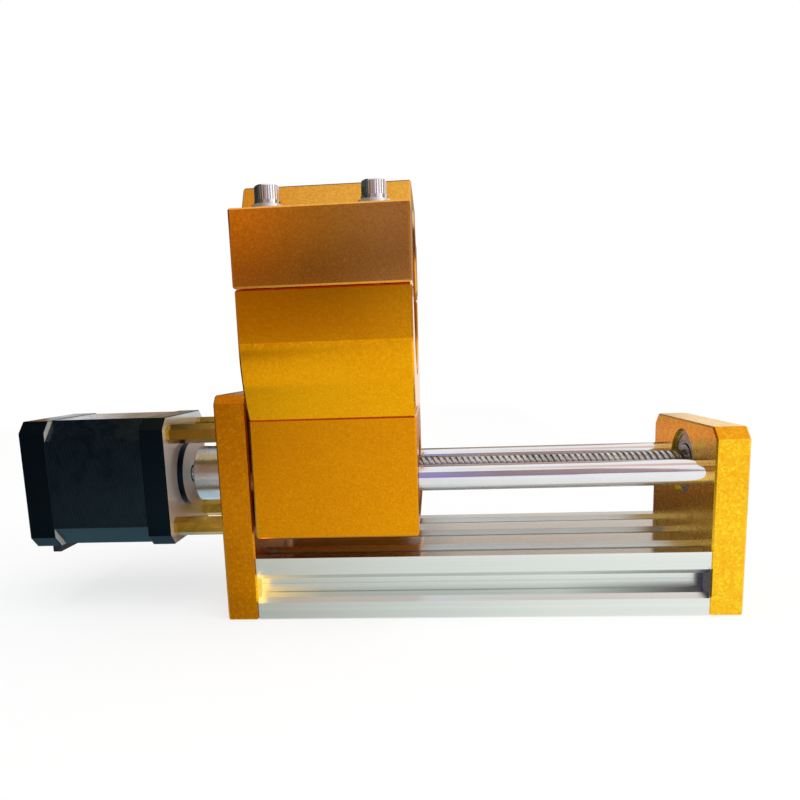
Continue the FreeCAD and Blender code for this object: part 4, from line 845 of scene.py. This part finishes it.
card("near_floor_shadow_card", (-0.05, -0.096, LIFT), (0.50, 0.088), LYING,
     (-0.20, (0.02, 0.03, 0.04)), (-0.11, (0.15, 0.16, 0.16)), (-0.06, (0.51, 0.52, 0.49)),
     (-0.04, (0.63, 0.65, 0.60)), (0.01, (0.85, 0.87, 0.83)), (0.10, (0.98, 1.0, 0.97)),
     (0.13, (1.0, 1.0, 1.0)))
card("foot_shadow_card", (-0.05, -0.041, LIFT), (0.50, 0.022), LYING,
     (-0.20, (0.02, 0.03, 0.04)), (-0.08, (0.16, 0.17, 0.17)), (-0.04, (0.45, 0.47, 0.44)),
     (0.01, (0.68, 0.71, 0.68)), (0.06, (0.90, 0.92, 0.89)), (0.13, (1.0, 1.0, 1.0)))
card("motor_floor_card", (-0.15, 0.0, LIFT), (0.20, 0.06), LYING,
     (-0.25, (0.30, 0.58, 0.70)), (-0.08, (0.34, 0.62, 0.75)), (-0.05, (0.8, 0.8, 0.8)))
card("back_floor_card", (0.05, 0.15, LIFT), (0.5, 0.20), LYING,
     (-0.2, (0.06, 0.04, 0.03)), (0.2, (0.10, 0.06, 0.05)))
card("back_left_floor_card", (-0.225, 0.63, LIFT), (0.75, 0.75), LYING,
     (-0.3, (0.48, 0.25, 0.17)), (-0.1, (0.96, 0.55, 0.38)), (0.0, (0.78, 0.42, 0.28)),
     (0.05, (0.46, 0.22, 0.16)), (0.15, (0.26, 0.13, 0.11)))

# Behind: brown, with a dark card and a paler one low down. Overhead: gold, then white, then pink to the right
card("back_card", (-0.15, 0.60, 0.50), (0.9, 0.70), UPRIGHT,
     (-0.3, (0.12, 0.07, 0.04)), (0.0, (0.16, 0.10, 0.06)), (0.05, (0.44, 0.31, 0.22)),
     (0.2, (0.48, 0.35, 0.26)), (0.3, (0.50, 0.38, 0.30)))
# The dark card low in the middle is painted shade under the carriage, seen in the rail
card("low_middle_shade_card", (-0.09, 0.60, 0.08), (0.16, 0.14), UPRIGHT, (0.03, 0.02, 0.015))
card("overhead_card", (0.05, -0.12, 0.86), (1.0, 0.34), LYING,
     (-0.4, (0.64, 0.44, 0.10)), (-0.22, (0.66, 0.46, 0.12)), (-0.13, (0.86, 0.90, 0.88)),
     (0.02, (0.92, 1.0, 1.0)), (0.20, (0.86, 0.72, 0.65)), (0.36, (0.88, 0.55, 0.45)))
card("low_back_card", (-0.30, 0.60, 0.11), (0.17, 0.08), UPRIGHT,
     (-0.38, (0.9, 0.85, 0.8)), (-0.34, (0.5, 0.38, 0.28)))

# In the near slot, painted light and shade: gold light by the motor plate, pale bounce light, and shade by
# the end plate
rail_low, rail_high = corners("base_rail")
slot_level = (rail_low.z + rail_high.z) / 2
for name, gap, tone in (("gold_glow", 0.1, (1.9, 1.12, 0.36)), ("plate_glow", 0.05, (1.15, 1.65, 0.55))):
    card(name, (rail_low.x + gap * MM, rail_low.y + MM, slot_level), (0.011, 0.009), SIDEWAYS, tone)
card("slot_fill", ((rail_low.x + rail_high.x) / 2, rail_low.y + 3.7 * MM, slot_level - 2.8 * MM),
     (rail_high.x - rail_low.x - 2 * MM, 4.2 * MM), LYING,
     (-0.035, (1.2, 0.80, 0.28)), (-0.027, (0.80, 0.62, 0.36)), (-0.016, (0.52, 0.51, 0.44)),
     (0.0, (0.50, 0.53, 0.50)), (0.06, (0.62, 0.65, 0.62)), (0.10, (0.10, 0.09, 0.09)))
for name, gap, tone in (("slot_shade", 0.1, (0.05, 0.04, 0.045)), ("plate_shade", 0.05, (0.08, 0.12, 0.60))):
    card(name, (rail_high.x - gap * MM, rail_low.y + 2.5 * MM, slot_level), (0.008, 0.009), SIDEWAYS, tone)

# Light. A white surrounding that the metal shows, dimmer where it only lights matt surfaces, one broad soft
# lamp from above, and a window-like lamp on the right that whitens the edges on that side.
SKY_ON_MATT = 0.42
world = bpy.data.worlds.new("studio")
bpy.context.scene.world = world
world.use_nodes = True
tree = world.node_tree
sky = tree.nodes["Background"]
sky.inputs["Color"].default_value = (1, 1, 1, 1)
tree.links.new(spread(tree, seen_directly(tree), 0, 1, SKY_ON_MATT, 1), sky.inputs["Strength"])
LAMP_STRENGTH, LAMP_SPREAD = 2.3, 70
bpy.ops.object.light_add(type="SUN", rotation=(math.radians(18), math.radians(22), 0))
lamp = bpy.context.object
lamp.name = "soft_lamp"
lamp.data.energy = LAMP_STRENGTH
lamp.data.angle = math.radians(LAMP_SPREAD)
lamp.visible_glossy = False
WINDOW_PLACE, WINDOW_SIZE, WINDOW_BRIGHTNESS = Vector((0.75, -0.10, 0.30)), 0.5, 1.4
WINDOW_AIM = Vector((0, 0, 0.06))
bpy.ops.object.light_add(type="AREA", location=WINDOW_PLACE)
window = bpy.context.object
window.name = "window_lamp"
window.rotation_euler = (WINDOW_AIM - WINDOW_PLACE).to_track_quat("-Z", "Y").to_euler()
window.data.size = WINDOW_SIZE
window.data.energy = WINDOW_BRIGHTNESS * math.pi * WINDOW_SIZE ** 2
window.visible_camera = False

# Camera. At the photograph's place, a hand's width above the rail and a quarter of a metre in front of it,
# tilted down a little.
FRAME_PIXELS = 800
CAMERA_PLACE = (0.021152, -0.247526, 0.080510)
YAW, PITCH, ROLL = (math.radians(angle) for angle in (-4.160, -9.912, -2.007))
FOCAL_PIXELS = 722.948
CENTRE_PIXELS = (383.517, 486.191)
ahead = Vector((math.sin(YAW) * math.cos(PITCH), math.cos(YAW) * math.cos(PITCH), math.sin(PITCH)))
level_right = ahead.cross(Vector((0, 0, 1))).normalized()
level_up = level_right.cross(ahead)
right = level_right * math.cos(ROLL) + level_up * math.sin(ROLL)
up = level_up * math.cos(ROLL) - level_right * math.sin(ROLL)
bpy.ops.object.camera_add()
camera = bpy.context.object
camera.matrix_world = Matrix.Translation(CAMERA_PLACE) @ Matrix((right, up, -ahead)).transposed().to_4x4()
camera.data.sensor_width = 36
camera.data.lens = FOCAL_PIXELS * camera.data.sensor_width / FRAME_PIXELS
camera.data.shift_x = (FRAME_PIXELS / 2 - CENTRE_PIXELS[0]) / FRAME_PIXELS
camera.data.shift_y = (CENTRE_PIXELS[1] - FRAME_PIXELS / 2) / FRAME_PIXELS
camera.data.clip_start = 0.01
bpy.context.scene.camera = camera
bpy.context.scene.view_settings.view_transform = "Standard"
